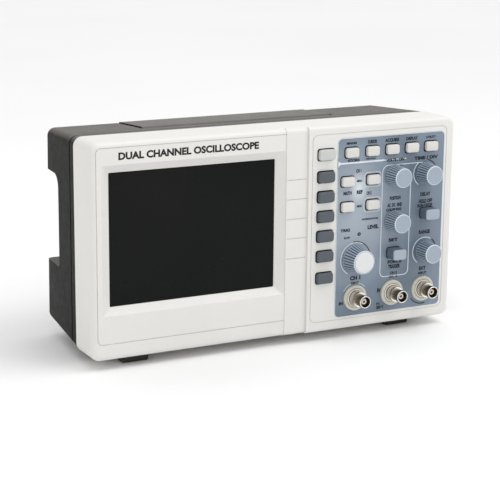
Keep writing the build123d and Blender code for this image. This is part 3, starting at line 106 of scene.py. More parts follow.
class Shader:
    """A Principled material and the few nodes that each surface here is made from."""

    def __init__(self, name, roughness=0.5, metallic=0.0, specular=0.5, coat=0.0, coat_roughness=0.1):
        self.material = bpy.data.materials.new(name)
        self.material.use_nodes = True
        self.nodes = self.material.node_tree.nodes
        self.links = self.material.node_tree.links
        self.nodes.clear()
        self.output = self.nodes.new("ShaderNodeOutputMaterial")
        self.surface = self.nodes.new("ShaderNodeBsdfPrincipled")
        self.links.new(self.surface.outputs[0], self.output.inputs[0])
        self.surface.inputs["Roughness"].default_value = roughness
        self.surface.inputs["Metallic"].default_value = metallic
        self.surface.inputs["Specular IOR Level"].default_value = specular
        self.surface.inputs["Coat Weight"].default_value = coat
        self.surface.inputs["Coat Roughness"].default_value = coat_roughness
        self.place = self.nodes.new("ShaderNodeTexCoord").outputs["Object"]

    def noise(self, scale, detail=3.0, roughness=0.55, stretch=None):
        """Noise over the object's own coordinates, scale in features per metre."""
        node = self.nodes.new("ShaderNodeTexNoise")
        node.inputs["Scale"].default_value = scale
        node.inputs["Detail"].default_value = detail
        node.inputs["Roughness"].default_value = roughness
        source = self.place
        if stretch:
            mapping = self.nodes.new("ShaderNodeMapping")
            mapping.inputs["Scale"].default_value = stretch
            self.links.new(source, mapping.inputs["Vector"])
            source = mapping.outputs["Vector"]
        self.links.new(source, node.inputs["Vector"])
        return node.outputs["Fac"]

    def cells(self, scale):
        """Cell distance over the object's own coordinates, for a moulded grain."""
        node = self.nodes.new("ShaderNodeTexVoronoi")
        node.inputs["Scale"].default_value = scale
        self.links.new(self.place, node.inputs["Vector"])
        return node.outputs["Distance"]

    def ranged(self, source, low, high, new_low, new_high):
        """The source's stretch low..high brought to new_low..new_high."""
        node = self.nodes.new("ShaderNodeMapRange")
        node.inputs["From Min"].default_value = low
        node.inputs["From Max"].default_value = high
        node.inputs["To Min"].default_value = new_low
        node.inputs["To Max"].default_value = new_high
        self.links.new(source, node.inputs["Value"])
        return node.outputs["Result"]

    def varied(self, scale, detail, low, high, spread=(0.3, 0.7)):
        """Noise whose spread is brought to low..high, for uneven colour or gloss."""
        return self.ranged(self.noise(scale, detail), *spread, low, high)

    def mixed(self, share, first, second):
        """Colour mix; first and second are colours or sockets."""
        node = self.nodes.new("ShaderNodeMix")
        node.data_type = "RGBA"
        self.links.new(share, node.inputs["Factor"])
        for socket, value in ((node.inputs[6], first), (node.inputs[7], second)):
            if isinstance(value, bpy.types.NodeSocket):
                self.links.new(value, socket)
            else:
                socket.default_value = value
        return node.outputs[2]

    def distance(self, source, place):
        """Distance from a vector socket to a fixed place."""
        node = self.nodes.new("ShaderNodeVectorMath")
        node.operation = "DISTANCE"
        node.inputs[1].default_value = place
        self.links.new(source, node.inputs[0])
        return node.outputs["Value"]

    def colour(self, source):
        self.links.new(source, self.surface.inputs["Base Color"])

    def roughness(self, source):
        self.links.new(source, self.surface.inputs["Roughness"])

    def bump(self, *layers):
        """Bump from (height socket, strength, distance in metres) layers, the finest last."""
        normal = None
        for height, strength, distance in layers:
            node = self.nodes.new("ShaderNodeBump")
            node.inputs["Strength"].default_value = strength
            node.inputs["Distance"].default_value = distance
            self.links.new(height, node.inputs["Height"])
            if normal is not None:
                self.links.new(normal, node.inputs["Normal"])
            normal = node.outputs["Normal"]
        self.links.new(normal, self.surface.inputs["Normal"])

    def lighter_convex_edges(self, base, edge_colour, strength):
        """Base colour with the edge colour showing on convex edges."""
        geometry = self.nodes.new("ShaderNodeNewGeometry")
        edge = self.ranged(geometry.outputs["Pointiness"], 0.52, 0.6, 0.0, strength)
        return self.mixed(edge, base, edge_colour)


def shade(colour, factor):
    """An sRGB colour as linear RGBA, with its brightness multiplied."""
    return (*(Vector(linear(*colour)[:3]) * factor), 1.0)


# bump distances in metres
GRAIN_DEPTH = 0.00005
FINE_DEPTH = 0.00003


def plastic(name, colour, roughness, grain=2600, grain_strength=0.25, mottle=0.04, specular=0.5):
    """Moulded plastic: faint large mottling, fine spark-eroded grain, uneven gloss."""
    shader = Shader(name, roughness=roughness, specular=specular)
    darker = shade(colour, 1 - mottle)
    lighter = shade(colour, 1 + mottle)
    cloud = shader.varied(38, 4.0, 0.0, 1.0)
    shader.colour(shader.lighter_convex_edges(shader.mixed(cloud, darker, lighter), lighter, 0.5))
    shader.roughness(shader.varied(160, 5.0, roughness - 0.05, roughness + 0.06))
    shader.bump(
        (shader.noise(grain, 2.0), grain_strength, GRAIN_DEPTH),
        (shader.cells(grain * 0.7), grain_strength * 0.5, FINE_DEPTH),
    )
    return shader.material


def case_plastic(name, colour, top_sheen, roughness, specular):
    """Charcoal moulded plastic with a spark-eroded grain, its upward faces painted lighter: a painted sheen for the
    bright surround reflected at a grazing angle.
    """
    shader = Shader(name, roughness=roughness, specular=specular)
    base_mottle = shader.mixed(shader.varied(30, 4.0, 0.0, 1.0), shade(colour, 0.9), shade(colour, 1.12))
    normal = shader.nodes.new("ShaderNodeSeparateXYZ")
    shader.links.new(shader.nodes.new("ShaderNodeNewGeometry").outputs["Normal"], normal.inputs[0])
    # painted sheen: faces that point up are mixed, patchily, towards the lighter colour
    upward = shader.ranged(normal.outputs["Z"], 0.35, 0.97, 0.0, 1.0)
    sheen_patches = shader.varied(55, 6.0, 0.8, 1.0, (0.25, 0.75))
    cover = shader.nodes.new("ShaderNodeMath")
    cover.operation = "MULTIPLY"
    shader.links.new(upward, cover.inputs[0])
    shader.links.new(sheen_patches, cover.inputs[1])
    shader.colour(shader.mixed(cover.outputs[0], base_mottle, linear(*top_sheen)))
    shader.roughness(shader.varied(160, 5.0, roughness - 0.05, roughness + 0.06))
    shader.bump((shader.noise(2100, 2.0), 0.35, GRAIN_DEPTH), (shader.cells(1500), 0.2, FINE_DEPTH))
    return shader.material


def metal(name, colour, roughness, stretch=(1, 1, 1), scale=900, tarnish=(90, 80, 66)):
    """Plated or brushed metal with streaked gloss and a little tarnish in its colour."""
    shader = Shader(name, roughness=roughness, metallic=1.0)
    streaks = shader.noise(scale, 4.0, 0.6, stretch)
    cloud = shader.varied(140, 4.0, 0.0, 0.55, (0.45, 0.75))
    shader.colour(shader.mixed(cloud, linear(*colour), linear(*tarnish)))
    shader.roughness(shader.ranged(streaks, 0.3, 0.7, roughness - 0.07, roughness + 0.1))
    shader.bump((streaks, 0.12, FINE_DEPTH))
    return shader.material


# the label's box in metres across and millimetres up, over which its shading runs from 0 to 1
LABEL_ACROSS = (0.048, 0.144)
LABEL_UP = (7.5, 147)
# where the painted light on the label is brightest and where its painted hot spot is, as shares of that box, and how
# far the hot spot reaches
SHADE_CENTRE = (0.16, 0.56, 0.0)
HOT_SPOT_CENTRE = (0.19, 0.72, 0.0)
HOT_SPOT_REACH = 0.1
HOT_SPOT_COLOUR = (216, 223, 229)
# sRGB by distance from the lightest place: painted light that falls off away from it
LABEL_SHADES = (
    (0.0, (162, 172, 184)),
    (0.2, (152, 163, 175)),
    (0.36, (134, 147, 162)),
    (0.46, (118, 132, 147)),
    (0.6, (103, 118, 133)),
    (0.76, (119, 133, 148)),
    (1.0, (124, 139, 156)),
)


def grey(value):
    """A neutral colour as linear RGBA."""
    return (value, value, value, 1.0)


def label_film():
    """The control half's blue-grey film, painted with a pool of light and a brighter hot spot left of centre that fall
    off to deeper blue.
    """
    shader = Shader("label_film", roughness=0.42, specular=0.4, coat=0.15, coat_roughness=0.35)
    split = shader.nodes.new("ShaderNodeSeparateXYZ")
    shader.links.new(shader.place, split.inputs[0])
    across = shader.ranged(split.outputs["X"], *LABEL_ACROSS, 0.0, 1.0)
    up = shader.ranged(split.outputs["Z"], *(DATUM_Z + height * MM for height in LABEL_UP), 0.0, 1.0)
    point = shader.nodes.new("ShaderNodeCombineXYZ")
    shader.links.new(across, point.inputs[0])
    shader.links.new(up, point.inputs[1])
    ramp = shader.nodes.new("ShaderNodeValToRGB")
    ramp.color_ramp.interpolation = "EASE"
    (first, first_colour), *between, (last, last_colour) = LABEL_SHADES
    stops = ramp.color_ramp.elements
    stops[0].position = first
    stops[0].color = linear(*first_colour)
    stops[1].position = last
    stops[1].color = linear(*last_colour)
    for position, colour in between:
        stops.new(position).color = linear(*colour)
    # painted light: the colour falls off with distance from the lightest place
    shader.links.new(shader.distance(point.outputs[0], SHADE_CENTRE), ramp.inputs["Fac"])
    # painted hot spot: near-white round its centre
    spot = shader.ranged(shader.distance(point.outputs[0], HOT_SPOT_CENTRE), 0.0, HOT_SPOT_REACH, 0.95, 0.0)
    lit = shader.mixed(spot, ramp.outputs["Color"], linear(*HOT_SPOT_COLOUR))
    faint = shader.mixed(shader.varied(1400, 2.0, 0.0, 1.0), grey(0.985), grey(1.015))
    blend = shader.nodes.new("ShaderNodeMix")
    blend.data_type = "RGBA"
    blend.blend_type = "MULTIPLY"
    blend.inputs["Factor"].default_value = 1.0
    shader.links.new(lit, blend.inputs[6])
    shader.links.new(faint, blend.inputs[7])
    shader.colour(blend.outputs[2])
    shader.roughness(shader.varied(220, 4.0, 0.38, 0.46))
    shader.bump((shader.noise(3000, 2.0), 0.12, FINE_DEPTH))
    return shader.material


def screen_black():
    """Black screen window: near-black, satin, with the faintest dust and smears in its gloss."""
    shader = Shader("screen_black", roughness=0.3, specular=0.08)
    shader.colour(shader.mixed(shader.varied(9, 2.0, 0.0, 1.0), linear(19, 20, 20), linear(24, 25, 24)))
    shader.roughness(shader.varied(60, 5.0, 0.26, 0.38, (0.35, 0.7)))
    shader.bump((shader.noise(5000, 1.0), 0.03, 0.00002))
    return shader.material


def ink(name, colour):
    """Screen-printed ink: slightly uneven cover and gloss."""
    shader = Shader(name, roughness=0.55, specular=0.3)
    cover = shader.varied(2200, 3.0, 0.0, 1.0, (0.35, 0.65))
    shader.colour(shader.mixed(cover, shade(colour, 0.92), shade(colour, 1.1)))
    shader.roughness(shader.varied(900, 2.0, 0.48, 0.62))
    return shader.material


def circuit_board():
    """Green solder mask with tracks that show through as a slightly raised maze."""
    shader = Shader("circuit_board", roughness=0.35, coat=0.3)
    brick = shader.nodes.new("ShaderNodeTexBrick")
    brick.inputs["Scale"].default_value = 120
    brick.inputs["Mortar Size"].default_value = 0.03
    shader.links.new(shader.place, brick.inputs["Vector"])
    brick.inputs["Color1"].default_value = linear(18, 74, 36)
    brick.inputs["Color2"].default_value = linear(22, 84, 42)
    brick.inputs["Mortar"].default_value = linear(44, 112, 62)
    shader.colour(brick.outputs["Color"])
    shader.bump((brick.outputs["Fac"], 0.2, GRAIN_DEPTH))
    return shader.material


# name: (sRGB colour, roughness, and what differs from plain moulded plastic)
PLASTICS = {
    "bezel_plastic": ((224, 223, 219), 0.38, {"mottle": 0.012, "grain_strength": 0.16}),
    "lcd_glass": ((20, 20, 24), 0.12, {"grain_strength": 0.02}),
    "key_dark": ((80, 87, 94), 0.5, {"mottle": 0.03}),
    # painted shade: near-black for the gap round each key
    "key_skirt": ((22, 22, 23), 0.6, {"mottle": 0.05, "specular": 0.2}),
    "key_light": ((214, 212, 207), 0.44, {"mottle": 0.015, "grain_strength": 0.14}),
    "key_grey": ((194, 197, 194), 0.44, {"mottle": 0.015, "grain_strength": 0.14}),
    # painted shade: the push buttons' sides, darker than their fronts
    "button_side": ((98, 111, 126), 0.5, {"mottle": 0.03}),
    "button_blue": ((160, 170, 183), 0.45, {"mottle": 0.02}),
    "knob_blue": ((150, 165, 180), 0.46, {"mottle": 0.025, "grain_strength": 0.2}),
    # painted shade: darker colour in the knobs' grooves
    "knob_groove": ((58, 70, 84), 0.6, {"mottle": 0.03}),
    # painted highlight: lighter colour on the knobs' rounded rims
    "knob_rim": ((214, 220, 226), 0.32, {"mottle": 0.01, "grain_strength": 0.1}),
    # painted light: the small knobs' tops, a little lighter than their sides
    "knob_cap": ((156, 167, 181), 0.42, {"mottle": 0.02, "grain_strength": 0.12}),
    "cap_light": ((219, 221, 221), 0.4, {"mottle": 0.012, "grain_strength": 0.1}),
    "encoder_body": ((40, 62, 58), 0.5, {}),
    "switch_black": ((34, 34, 35), 0.5, {}),
    "ptfe": ((232, 230, 222), 0.4, {"mottle": 0.02}),
    "collar": ((204, 201, 189), 0.4, {"mottle": 0.02}),
    "transformer": ((60, 52, 40), 0.5, {"mottle": 0.15}),
    "black_plastic": ((36, 36, 37), 0.46, {"grain_strength": 0.35, "mottle": 0.06}),
    "foot_rubber": ((48, 47, 45), 0.72, {"grain": 1500, "grain_strength": 0.5, "mottle": 0.08, "specular": 0.3}),
}
# name: (base colour, lighter colour painted on upward faces as a painted sheen, roughness, specular level)
CASE_PLASTICS = {
    "case_plastic": ((33, 32, 31), (112, 110, 106), 0.55, 0.06),
    "handle_plastic": ((34, 33, 32), (119, 117, 113), 0.52, 0.08),
}
# name: (sRGB colour, roughness, and where they are not the usual ones the streaks' stretch, scale and tarnish)
METALS = {
    "tray_steel": ((176, 178, 180), 0.35, (1, 1, 12)),
    "steel": ((186, 186, 184), 0.3, (1, 10, 1)),
    "nickel": ((134, 122, 104), 0.28, (1, 14, 1), 700, (92, 78, 62)),
    # painted highlight: near-white metal on the sockets' rims
    "nickel_rim": ((244, 240, 232), 0.3, (1, 1, 1), 900, (220, 214, 202)),
    "gold_contact": ((212, 176, 104), 0.25),
    "shield_steel": ((190, 192, 194), 0.34, (1, 1, 10)),
    "panel_steel": ((176, 176, 174), 0.36, (0.2, 1, 14), 1600, (160, 157, 151)),
    "screw_steel": ((96, 96, 98), 0.34),
}
MATERIALS = {"label_film": label_film(), "screen": screen_black(), "board": circuit_board()}
for name, (colour, roughness, changes) in PLASTICS.items():
    MATERIALS[name] = plastic(name, colour, roughness, **changes)
for name, settings in CASE_PLASTICS.items():
    MATERIALS[name] = case_plastic(name, *settings)
for name, settings in METALS.items():
    MATERIALS[name] = metal(name, *settings)
DARK_INK = ink("dark_ink", (26, 32, 42))
TITLE_INK = ink("title_ink", (26, 26, 28))
WHITE_INK = ink("white_ink", (222, 228, 233))

SLOT_OF = {sub["node"]: sub["material_slot"] for sub in frame["record"]["subparts"]}

for node, obj in NODES.items():
    obj.data.materials.clear()
    obj.data.materials.append(MATERIALS[SLOT_OF[node]])

# ---------------------------------------------------------------- mesh helpers


def piece(name, mesh, node_or_body, materials, replaced=()):
    """Links a mesh as a finished piece that rides on a body, with the given materials, and hides the nodes it
    replaces.
    """
    obj = bpy.data.objects.new(name, mesh)
    bpy.context.scene.collection.objects.link(obj)
    for material in materials:
        mesh.materials.append(material)
    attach(obj, BODY_OF.get(node_or_body, node_or_body))
    if replaced:
        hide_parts(*replaced)
    return obj


def smooth(mesh, angle=32):
    """Smooth shading with sharp edges kept where faces turn by more than angle degrees."""
    for polygon in mesh.polygons:
        polygon.use_smooth = True
    mesh.set_sharp_from_angle(angle=math.radians(angle))


def mesh_from(name, build, angle=32):
    """A mesh filled by build(bmesh), with its normals made consistent."""
    mesh = bpy.data.meshes.new(name)
    bm = bmesh.new()
    build(bm)
    bmesh.ops.recalc_face_normals(bm, faces=bm.faces)
    bm.to_mesh(mesh)
    bm.free()
    smooth(mesh, angle)
    return mesh


def bridge(bm, rings, material_of=lambda ring, step: 0, cap_first=True, cap_last=True):
    """Quads between rings of points, each ring a closed loop of the same number of points."""
    loops = [[bm.verts.new(point) for point in ring] for ring in rings]
    count = len(loops[0])
    for index, (near, far) in enumerate(zip(loops, loops[1:])):
        for i in range(count):
            j = (i + 1) % count
            face = bm.faces.new((near[i], near[j], far[j], far[i]))
            face.material_index = material_of(index, i)
    if cap_first:
        bm.faces.new(loops[0]).material_index = material_of(0, 0)
    if cap_last:
        bm.faces.new(loops[-1]).material_index = material_of(len(rings) - 2, 0)


def rounded_loop(x, height, width, tall, radius, depth, steps=6):
    """A rounded rectangle facing the front, as points."""
    radius = min(radius, width / 2 - 0.01, tall / 2 - 0.01)
    points = []
    for corner, (sx, sz) in enumerate(((1, 1), (-1, 1), (-1, -1), (1, -1))):
        cx = x + sx * (width / 2 - radius)
        cz = height + sz * (tall / 2 - radius)
        for step in range(steps + 1):
            angle = math.radians(90 * corner + 90 * step / steps)
            points.append(at(cx + radius * math.cos(angle), depth, cz + radius * math.sin(angle)))
    return points


def circle_loop(x, height, radius, depth, count, wave=None):
    """A circle facing the front, its radius changed by wave(angle) where that is given."""
    points = []
    for i in range(count):
        angle = 2 * math.pi * i / count
        r = radius + (wave(angle) if wave else 0.0)
        points.append(at(x + r * math.cos(angle), depth, height + r * math.sin(angle)))
    return points


def lathe(bm, x, height, profile, count=72, accents=()):
    """A turned shape: profile is a closed list of (radius, depth), accents the steps in the second material."""
    rings = [circle_loop(x, height, radius, depth, count) for radius, depth in profile]
    loops = [[bm.verts.new(point) for point in ring] for ring in rings]
    for index, (near, far) in enumerate(zip(loops, loops[1:] + loops[:1])):
        for i in range(count):
            j = (i + 1) % count
            bm.faces.new((near[i], near[j], far[j], far[i])).material_index = int(index in accents)


WELD_DISTANCE = 2e-6
FLAT_ANGLE = math.radians(0.6)
BEVEL_ANGLE = math.radians(38)


def refined(node, edge):
    """A welded copy of a CAD node's mesh with edges eased by edge millimetres, which stands for the node."""
    mesh = NODES[node].data.copy()
    mesh.name = f"{node}_finish"
    mesh.materials.clear()
    bm = bmesh.new()
    bm.from_mesh(mesh)
    bmesh.ops.remove_doubles(bm, verts=bm.verts, dist=WELD_DISTANCE)
    bmesh.ops.dissolve_limit(bm, angle_limit=FLAT_ANGLE, verts=bm.verts, edges=bm.edges)
    bm.to_mesh(mesh)
    bm.free()
    smooth(mesh)
    obj = piece(mesh.name, mesh, node, [MATERIALS[SLOT_OF[node]]], [node])
    bevel = obj.modifiers.new("eased_edges", "BEVEL")
    bevel.width = edge * MM
    bevel.segments = 2
    bevel.limit_method = "ANGLE"
    bevel.angle_limit = BEVEL_ANGLE
    bevel.use_clamp_overlap = False
    bevel.harden_normals = True


# ---------------------------------------------------------------- keys

KEY_EDGE = 0.9
KEY_ARC_STEPS = 5
FLANGE_FRONT = 3.3
FLANGE_BACK = 4.3
FLANGE_CORNER = 2.2
STEM_BACK = 8.0
STEM = (4.0, 4.0, 0.6)
SKIRT_EDGE = -0.3
# shares of the way in from the key's edge to its middle where its crowned top has a ring
CROWN_RINGS = (0.35, 0.65, 0.9)


def key_piece(node, cap, corner, crown, top, side):
    """A key: a skirt behind the face, dark as painted shade in the gap round the cap, straight cap sides, a rounded
    edge and a crowned top.

    cap is its width and height, and top and side name the materials of its top and its visible sides.
    """
    x, height = place_of(node)
    low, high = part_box(node)
    tip = (low.y - FACE_Y) / MM
    flange = ((high.x - low.x) / MM, (high.z - low.z) / MM)
    rings = [
        rounded_loop(x, height, *STEM, STEM_BACK),
        rounded_loop(x, height, *STEM, FLANGE_BACK),
        rounded_loop(x, height, *flange, FLANGE_CORNER, FLANGE_BACK),
        rounded_loop(x, height, *flange, FLANGE_CORNER, FLANGE_FRONT),
        rounded_loop(x, height, *cap, corner, FLANGE_FRONT),
        rounded_loop(x, height, *cap, corner, SKIRT_EDGE),
    ]
    skirt_rings = len(rings) - 1
    for step in range(KEY_ARC_STEPS + 1):
        turn = math.pi / 2 * step / KEY_ARC_STEPS
        inset = KEY_EDGE * (1 - math.cos(turn))
        depth = tip + crown + KEY_EDGE * (1 - math.sin(turn))
        rounding = corner - inset * 0.6
        rings.append(rounded_loop(x, height, cap[0] - 2 * inset, cap[1] - 2 * inset, rounding, depth))
    for share in CROWN_RINGS:
        width = (cap[0] - 2 * KEY_EDGE) * (1 - share)
        tall = (cap[1] - 2 * KEY_EDGE) * (1 - share)
        depth = tip + crown * (1 - math.sin(share * math.pi / 2))
        rings.append(rounded_loop(x, height, width, tall, corner * (1 - share), depth))

    # skirt rings take the near-black colour as painted shade, then come the sides, then the top
    def finish_of(ring, step):
        return min(max(ring - skirt_rings, -1), 1) + 1

    mesh = mesh_from(f"{node}_moulding", lambda bm: bridge(bm, rings, finish_of), 50)
    materials = [MATERIALS[name] for name in ("key_skirt", side, top)]
    piece(f"{node}_moulding", mesh, node, materials, [node])


for node in sorted(name for name in NODES if name.startswith("softkey")):
    finish = "key_grey" if node == "softkey_1" else "key_dark"
    key_piece(node, (13.6, 8.2), 2.0, 0.25, finish, finish)
for node in sorted(name for name in NODES if name.startswith(("function_key", "menu_key"))):
    key_piece(node, (11.0, 7.4), 1.8, 0.25, "key_light", "key_light")
# the push buttons' sides are painted darker than their fronts: painted shade
key_piece("upper_push_button", (12.4, 8.2), 2.0, 0.2, "button_blue", "button_side")
key_piece("lower_push_button", (11.8, 8.2), 2.0, 0.2, "button_blue", "button_side")

# ---------------------------------------------------------------- knobs

KNOB_BASE = -0.8
KNOB_BACK = -0.9
SHAFT_R = 3.05
BORE_LENGTH = 3.0
RIM = 0.55
RIM_STEPS = 4
CAP_POCKET = 1.2
RIB_SAMPLES = 12
GROOVE = 0.8
# the steps of each rib's samples that lie in its groove, and the rings up the side, as shares of its length
# faces in the groove steps take the darker colour: painted shade
GROOVE_STEPS = (10, 11, 0, 1)
PLAIN_RING = 0.06
GROOVED_RINGS = (0.1, 0.3, 0.5, 0.7, 0.88, 0.93)


def knob_piece(node, base_r, tip_r, ribs, inset_cap=None):
    """A tapered knob: ribs with rounded grooves up its side, a smooth rim and a flat top. The grooves take a darker
    colour as painted shade, the rim a lighter one as a painted highlight, and where there is no separate cap the top
    is a little lighter than the sides as painted light.

    inset_cap is the radius of the pocket for a separate cap, where the knob has one.
    """
    x, height = place_of(node)
    tip = (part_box(node)[0].y - FACE_Y) / MM
    length = KNOB_BASE - tip
    count = ribs * RIB_SAMPLES

    def groove(angle):
        return -GROOVE * (0.5 + 0.5 * math.cos(ribs * angle)) ** 2.5

    rings = [
        circle_loop(x, height, SHAFT_R, tip + BORE_LENGTH, count),
        circle_loop(x, height, SHAFT_R, KNOB_BACK, count),
        circle_loop(x, height, base_r - 1.2, KNOB_BACK, count),
        circle_loop(x, height, base_r - 0.5, KNOB_BASE, count),
        circle_loop(x, height, base_r, KNOB_BASE - 0.35, count),
    ]
    base_rings = len(rings) - 1
    for share in (PLAIN_RING, *GROOVED_RINGS):
        radius = base_r + (tip_r - base_r) * share
        wave = None if share == PLAIN_RING else groove
        rings.append(circle_loop(x, height, radius, KNOB_BASE - length * share, count, wave))
    side_rings = len(rings) - 1
    rings.append(circle_loop(x, height, tip_r - 0.02, tip + RIM, count))
    for step in range(1, RIM_STEPS + 1):
        turn = math.pi / 2 * step / RIM_STEPS
        inset = RIM * (1 - math.cos(turn))
        rings.append(circle_loop(x, height, tip_r - inset, tip + RIM * (1 - math.sin(turn)), count))
    rim_rings = len(rings) - 1
    if inset_cap:
        rings.append(circle_loop(x, height, inset_cap, tip, count))
        rings.append(circle_loop(x, height, inset_cap, tip + CAP_POCKET, count))
        rings.append(circle_loop(x, height, 0.5, tip + CAP_POCKET, count))
    else:
        rings.append(circle_loop(x, height, tip_r * 0.75, tip + 0.04, count))
        rings.append(circle_loop(x, height, tip_r * 0.3, tip + 0.08, count))

    # the rim rings take the lighter colour as a painted highlight
    def finish_of(ring, step):
        if ring < side_rings:
            return int(ring > base_rings and step % RIB_SAMPLES in GROOVE_STEPS)
        return 2 if ring < rim_rings else 3

    mesh = mesh_from(f"{node}_moulding", lambda bm: bridge(bm, rings, finish_of), 40)
    # without a separate cap the top takes the slightly lighter colour: painted light
    face = "knob_blue" if inset_cap else "knob_cap"
    materials = [MATERIALS[name] for name in ("knob_blue", "knob_groove", "knob_rim", face)]
    piece(f"{node}_moulding", mesh, node, materials, [node])


knob_piece("knob_top_left", 8.6, 7.5, 26)
knob_piece("knob_mid_left", 8.4, 7.4, 26)
knob_piece("knob_top_right", 8.8, 7.4, 26)
knob_piece("knob_low_right", 8.6, 7.5, 26)
knob_piece("main_knob", 11.6, 9.2, 30, 8.35)


def cap_disc():
    """The pale disc in the large knob: a rounded edge and a slightly dished top."""
    x, height = place_of("main_knob_cap")
    low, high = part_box("main_knob_cap")
    tip = (low.y - FACE_Y) / MM
    back = (high.y - FACE_Y) / MM
    profile = [
        (0.3, back), (8.3, back), (8.3, tip + 0.35), (8.2, tip + 0.12),
        (7.95, tip), (5.0, tip + 0.05), (0.3, tip + 0.12),
    ]
    rings = [circle_loop(x, height, radius, depth, 96) for radius, depth in profile]
    mesh = mesh_from("main_knob_disc", lambda bm: bridge(bm, rings), 50)
    piece("main_knob_disc", mesh, "main_knob_cap", [MATERIALS["cap_light"]], ["main_knob_cap"])


cap_disc()

# ---------------------------------------------------------------- BNC sockets

LABEL_FRONT = -LABEL_PROUD
SOCKET_TIP = (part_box("bnc_shells")[0].y - FACE_Y) / MM
SOCKETS = [
    (mount["pos_m"][0] / MM, (mount["pos_m"][2] - DATUM_Z) / MM)
    for mount in frame["record"]["mounts"]
    if mount["kind"] == "pin"
]
SOCKET_FLOOR = SOCKET_TIP + 9.0
SLEEVE = SOCKET_TIP + 2.2
BACK = 12.0
# closed profiles as (radius, depth)
SHELL_PROFILE = [
    (6.2, BACK), (6.2, LABEL_FRONT), (7.2, LABEL_FRONT), (7.2, -1.8), (7.0, -2.1), (6.5, -2.2),
    (6.2, -2.35), (6.2, -2.9), (5.85, -3.1), (5.85, -3.3), (6.2, -3.5), (6.2, -7.4), (6.0, -7.85),
    (4.7, -7.9), (4.5, -8.1), (4.5, SOCKET_TIP + 4.05), (4.85, SOCKET_TIP + 4.0), (4.85, SOCKET_TIP + 0.5),
    (4.75, SOCKET_TIP + 0.15), (4.6, SOCKET_TIP), (4.2, SOCKET_TIP), (4.12, SOCKET_TIP + 0.1),
    (4.1, SOCKET_TIP + 0.3), (4.1, SOCKET_FLOOR), (3.1, SOCKET_FLOOR), (3.1, BACK),
]
# these steps take near-white metal, a painted highlight on the rims
SHELL_RIMS = (3, 4, 10, 12, 17, 18, 19, 20)
INSULATOR_PROFILE = [
    (1.1, BACK), (3.08, BACK), (3.08, SOCKET_FLOOR), (2.3, SOCKET_FLOOR),
    (2.3, SLEEVE + 0.3), (2.1, SLEEVE + 0.05), (1.9, SLEEVE), (1.1, SLEEVE),
]
CONTACT_PROFILE = [
    (0.05, 14.0), (1.08, 14.0), (1.08, SLEEVE + 0.2), (0.95, SLEEVE),
    (0.75, SLEEVE + 0.1), (0.7, SLEEVE + 0.4), (0.7, SOCKET_FLOOR), (0.05, SOCKET_FLOOR),
]
COLLAR_PROFILE = [
    (7.4, LABEL_FRONT), (7.4, -1.6), (7.5, -1.85), (7.8, -2.03), (9.4, -2.03),
    (9.8, -1.9), (10.05, -1.55), (10.1, -1.2), (10.1, LABEL_FRONT),
]
LUG_DEPTH = SOCKET_TIP + 5.2
LUG_STEPS = 20
# (reach from the socket's axis, lug radius) out to its rounded end
LUG_RINGS = ((4.6, 1.0), (5.3, 1.0), (5.48, 0.9), (5.55, 0.6))


def lug(bm, x, height, sign):
    """One bayonet lug: a short pin with a rounded end, out of the barrel's side."""
    rings = []
    for reach, radius in LUG_RINGS:
        turns = [2 * math.pi * i / LUG_STEPS for i in range(LUG_STEPS)]
        spots = [(LUG_DEPTH + radius * math.cos(turn), height + radius * math.sin(turn)) for turn in turns]
        rings.append([at(x + sign * reach, *spot) for spot in spots])
    bridge(bm, rings)


def turned(node, profile, count, angle, accents=(), lugs=False):
    """One kind of turned piece at all the sockets, which stands for its node."""

    def build(bm):
        for x, height in SOCKETS:
            lathe(bm, x, height, profile, count, accents)
            if lugs:
                lug(bm, x, height, -1)
                lug(bm, x, height, 1)

    mesh = mesh_from(f"{node}_turned", build, angle)
    # the second material, on the accented steps, is near-white: a painted highlight
    materials = [MATERIALS[SLOT_OF[node]], MATERIALS["nickel_rim"]]
    piece(f"{node}_turned", mesh, node, materials, [node])


turned("bnc_shells", SHELL_PROFILE, 72, 30, SHELL_RIMS, lugs=True)
turned("bnc_insulators", INSULATOR_PROFILE, 48, 40)
turned("bnc_contacts", CONTACT_PROFILE, 32, 40)
turned("bnc_collars", COLLAR_PROFILE, 96, 50)

# ---------------------------------------------------------------- shells and covers from the CAD

# node: how far its edges are eased, in millimetres
EASED = {
    "rear_case": 0.35, "carry_handle": 0.3, "feet": 0.5, "tilt_leg_left": 0.35, "tilt_leg_right": 0.35,
    "rear_panel": 0.12, "power_inlet": 0.25, "switch_frame": 0.2, "power_rocker": 0.4, "usb_port": 0.12,
    "control_overlay": 0.08, "fan_frame": 0.2, "fan_rotor": 0.15, "case_screws": 0.15, "inlet_pins": 0.3,
}
for node, edge in EASED.items():
    refined(node, edge)

# ---------------------------------------------------------------- printing

PRINT_DEPTH = LABEL_FRONT - 0.04
LABEL_LOW, LABEL_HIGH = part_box("control_overlay")
LABEL_MIDDLE = place_of("control_overlay")
LABEL_SIZE = ((LABEL_HIGH.x - LABEL_LOW.x) / MM, (LABEL_HIGH.z - LABEL_LOW.z) / MM)
LABEL_LEFT = LABEL_LOW.x / MM + 0.1
LABEL_CORNER = 3.9
EDGE_WIDTH = 0.4
LINE = 0.6
# the line under the function keys: its height, where it thins and ends, its widths and its flared left end
SPLIT = 127.9
SPLIT_THINS = 88.0
SPLIT_END = 108.5
SPLIT_WIDTH = 1.3
SPLIT_THIN = 0.8
FLARE = 3.4
FLARE_STEPS = 10
# the boxed column, whose top line runs on past it to the right and whose right side stops short of it
BOX_LEFT = 87.3
BOX_RIGHT = 113.2
BOX_TOP = 123.6
BOX_BOTTOM = 35.2
BOX_TOP_R = 5.0
BOX_LOW_R = 4.0
BOX_RUNS_TO = 124.0
BOX_TURNS = 94.0
BOX_RIGHT_TOP = 108.0
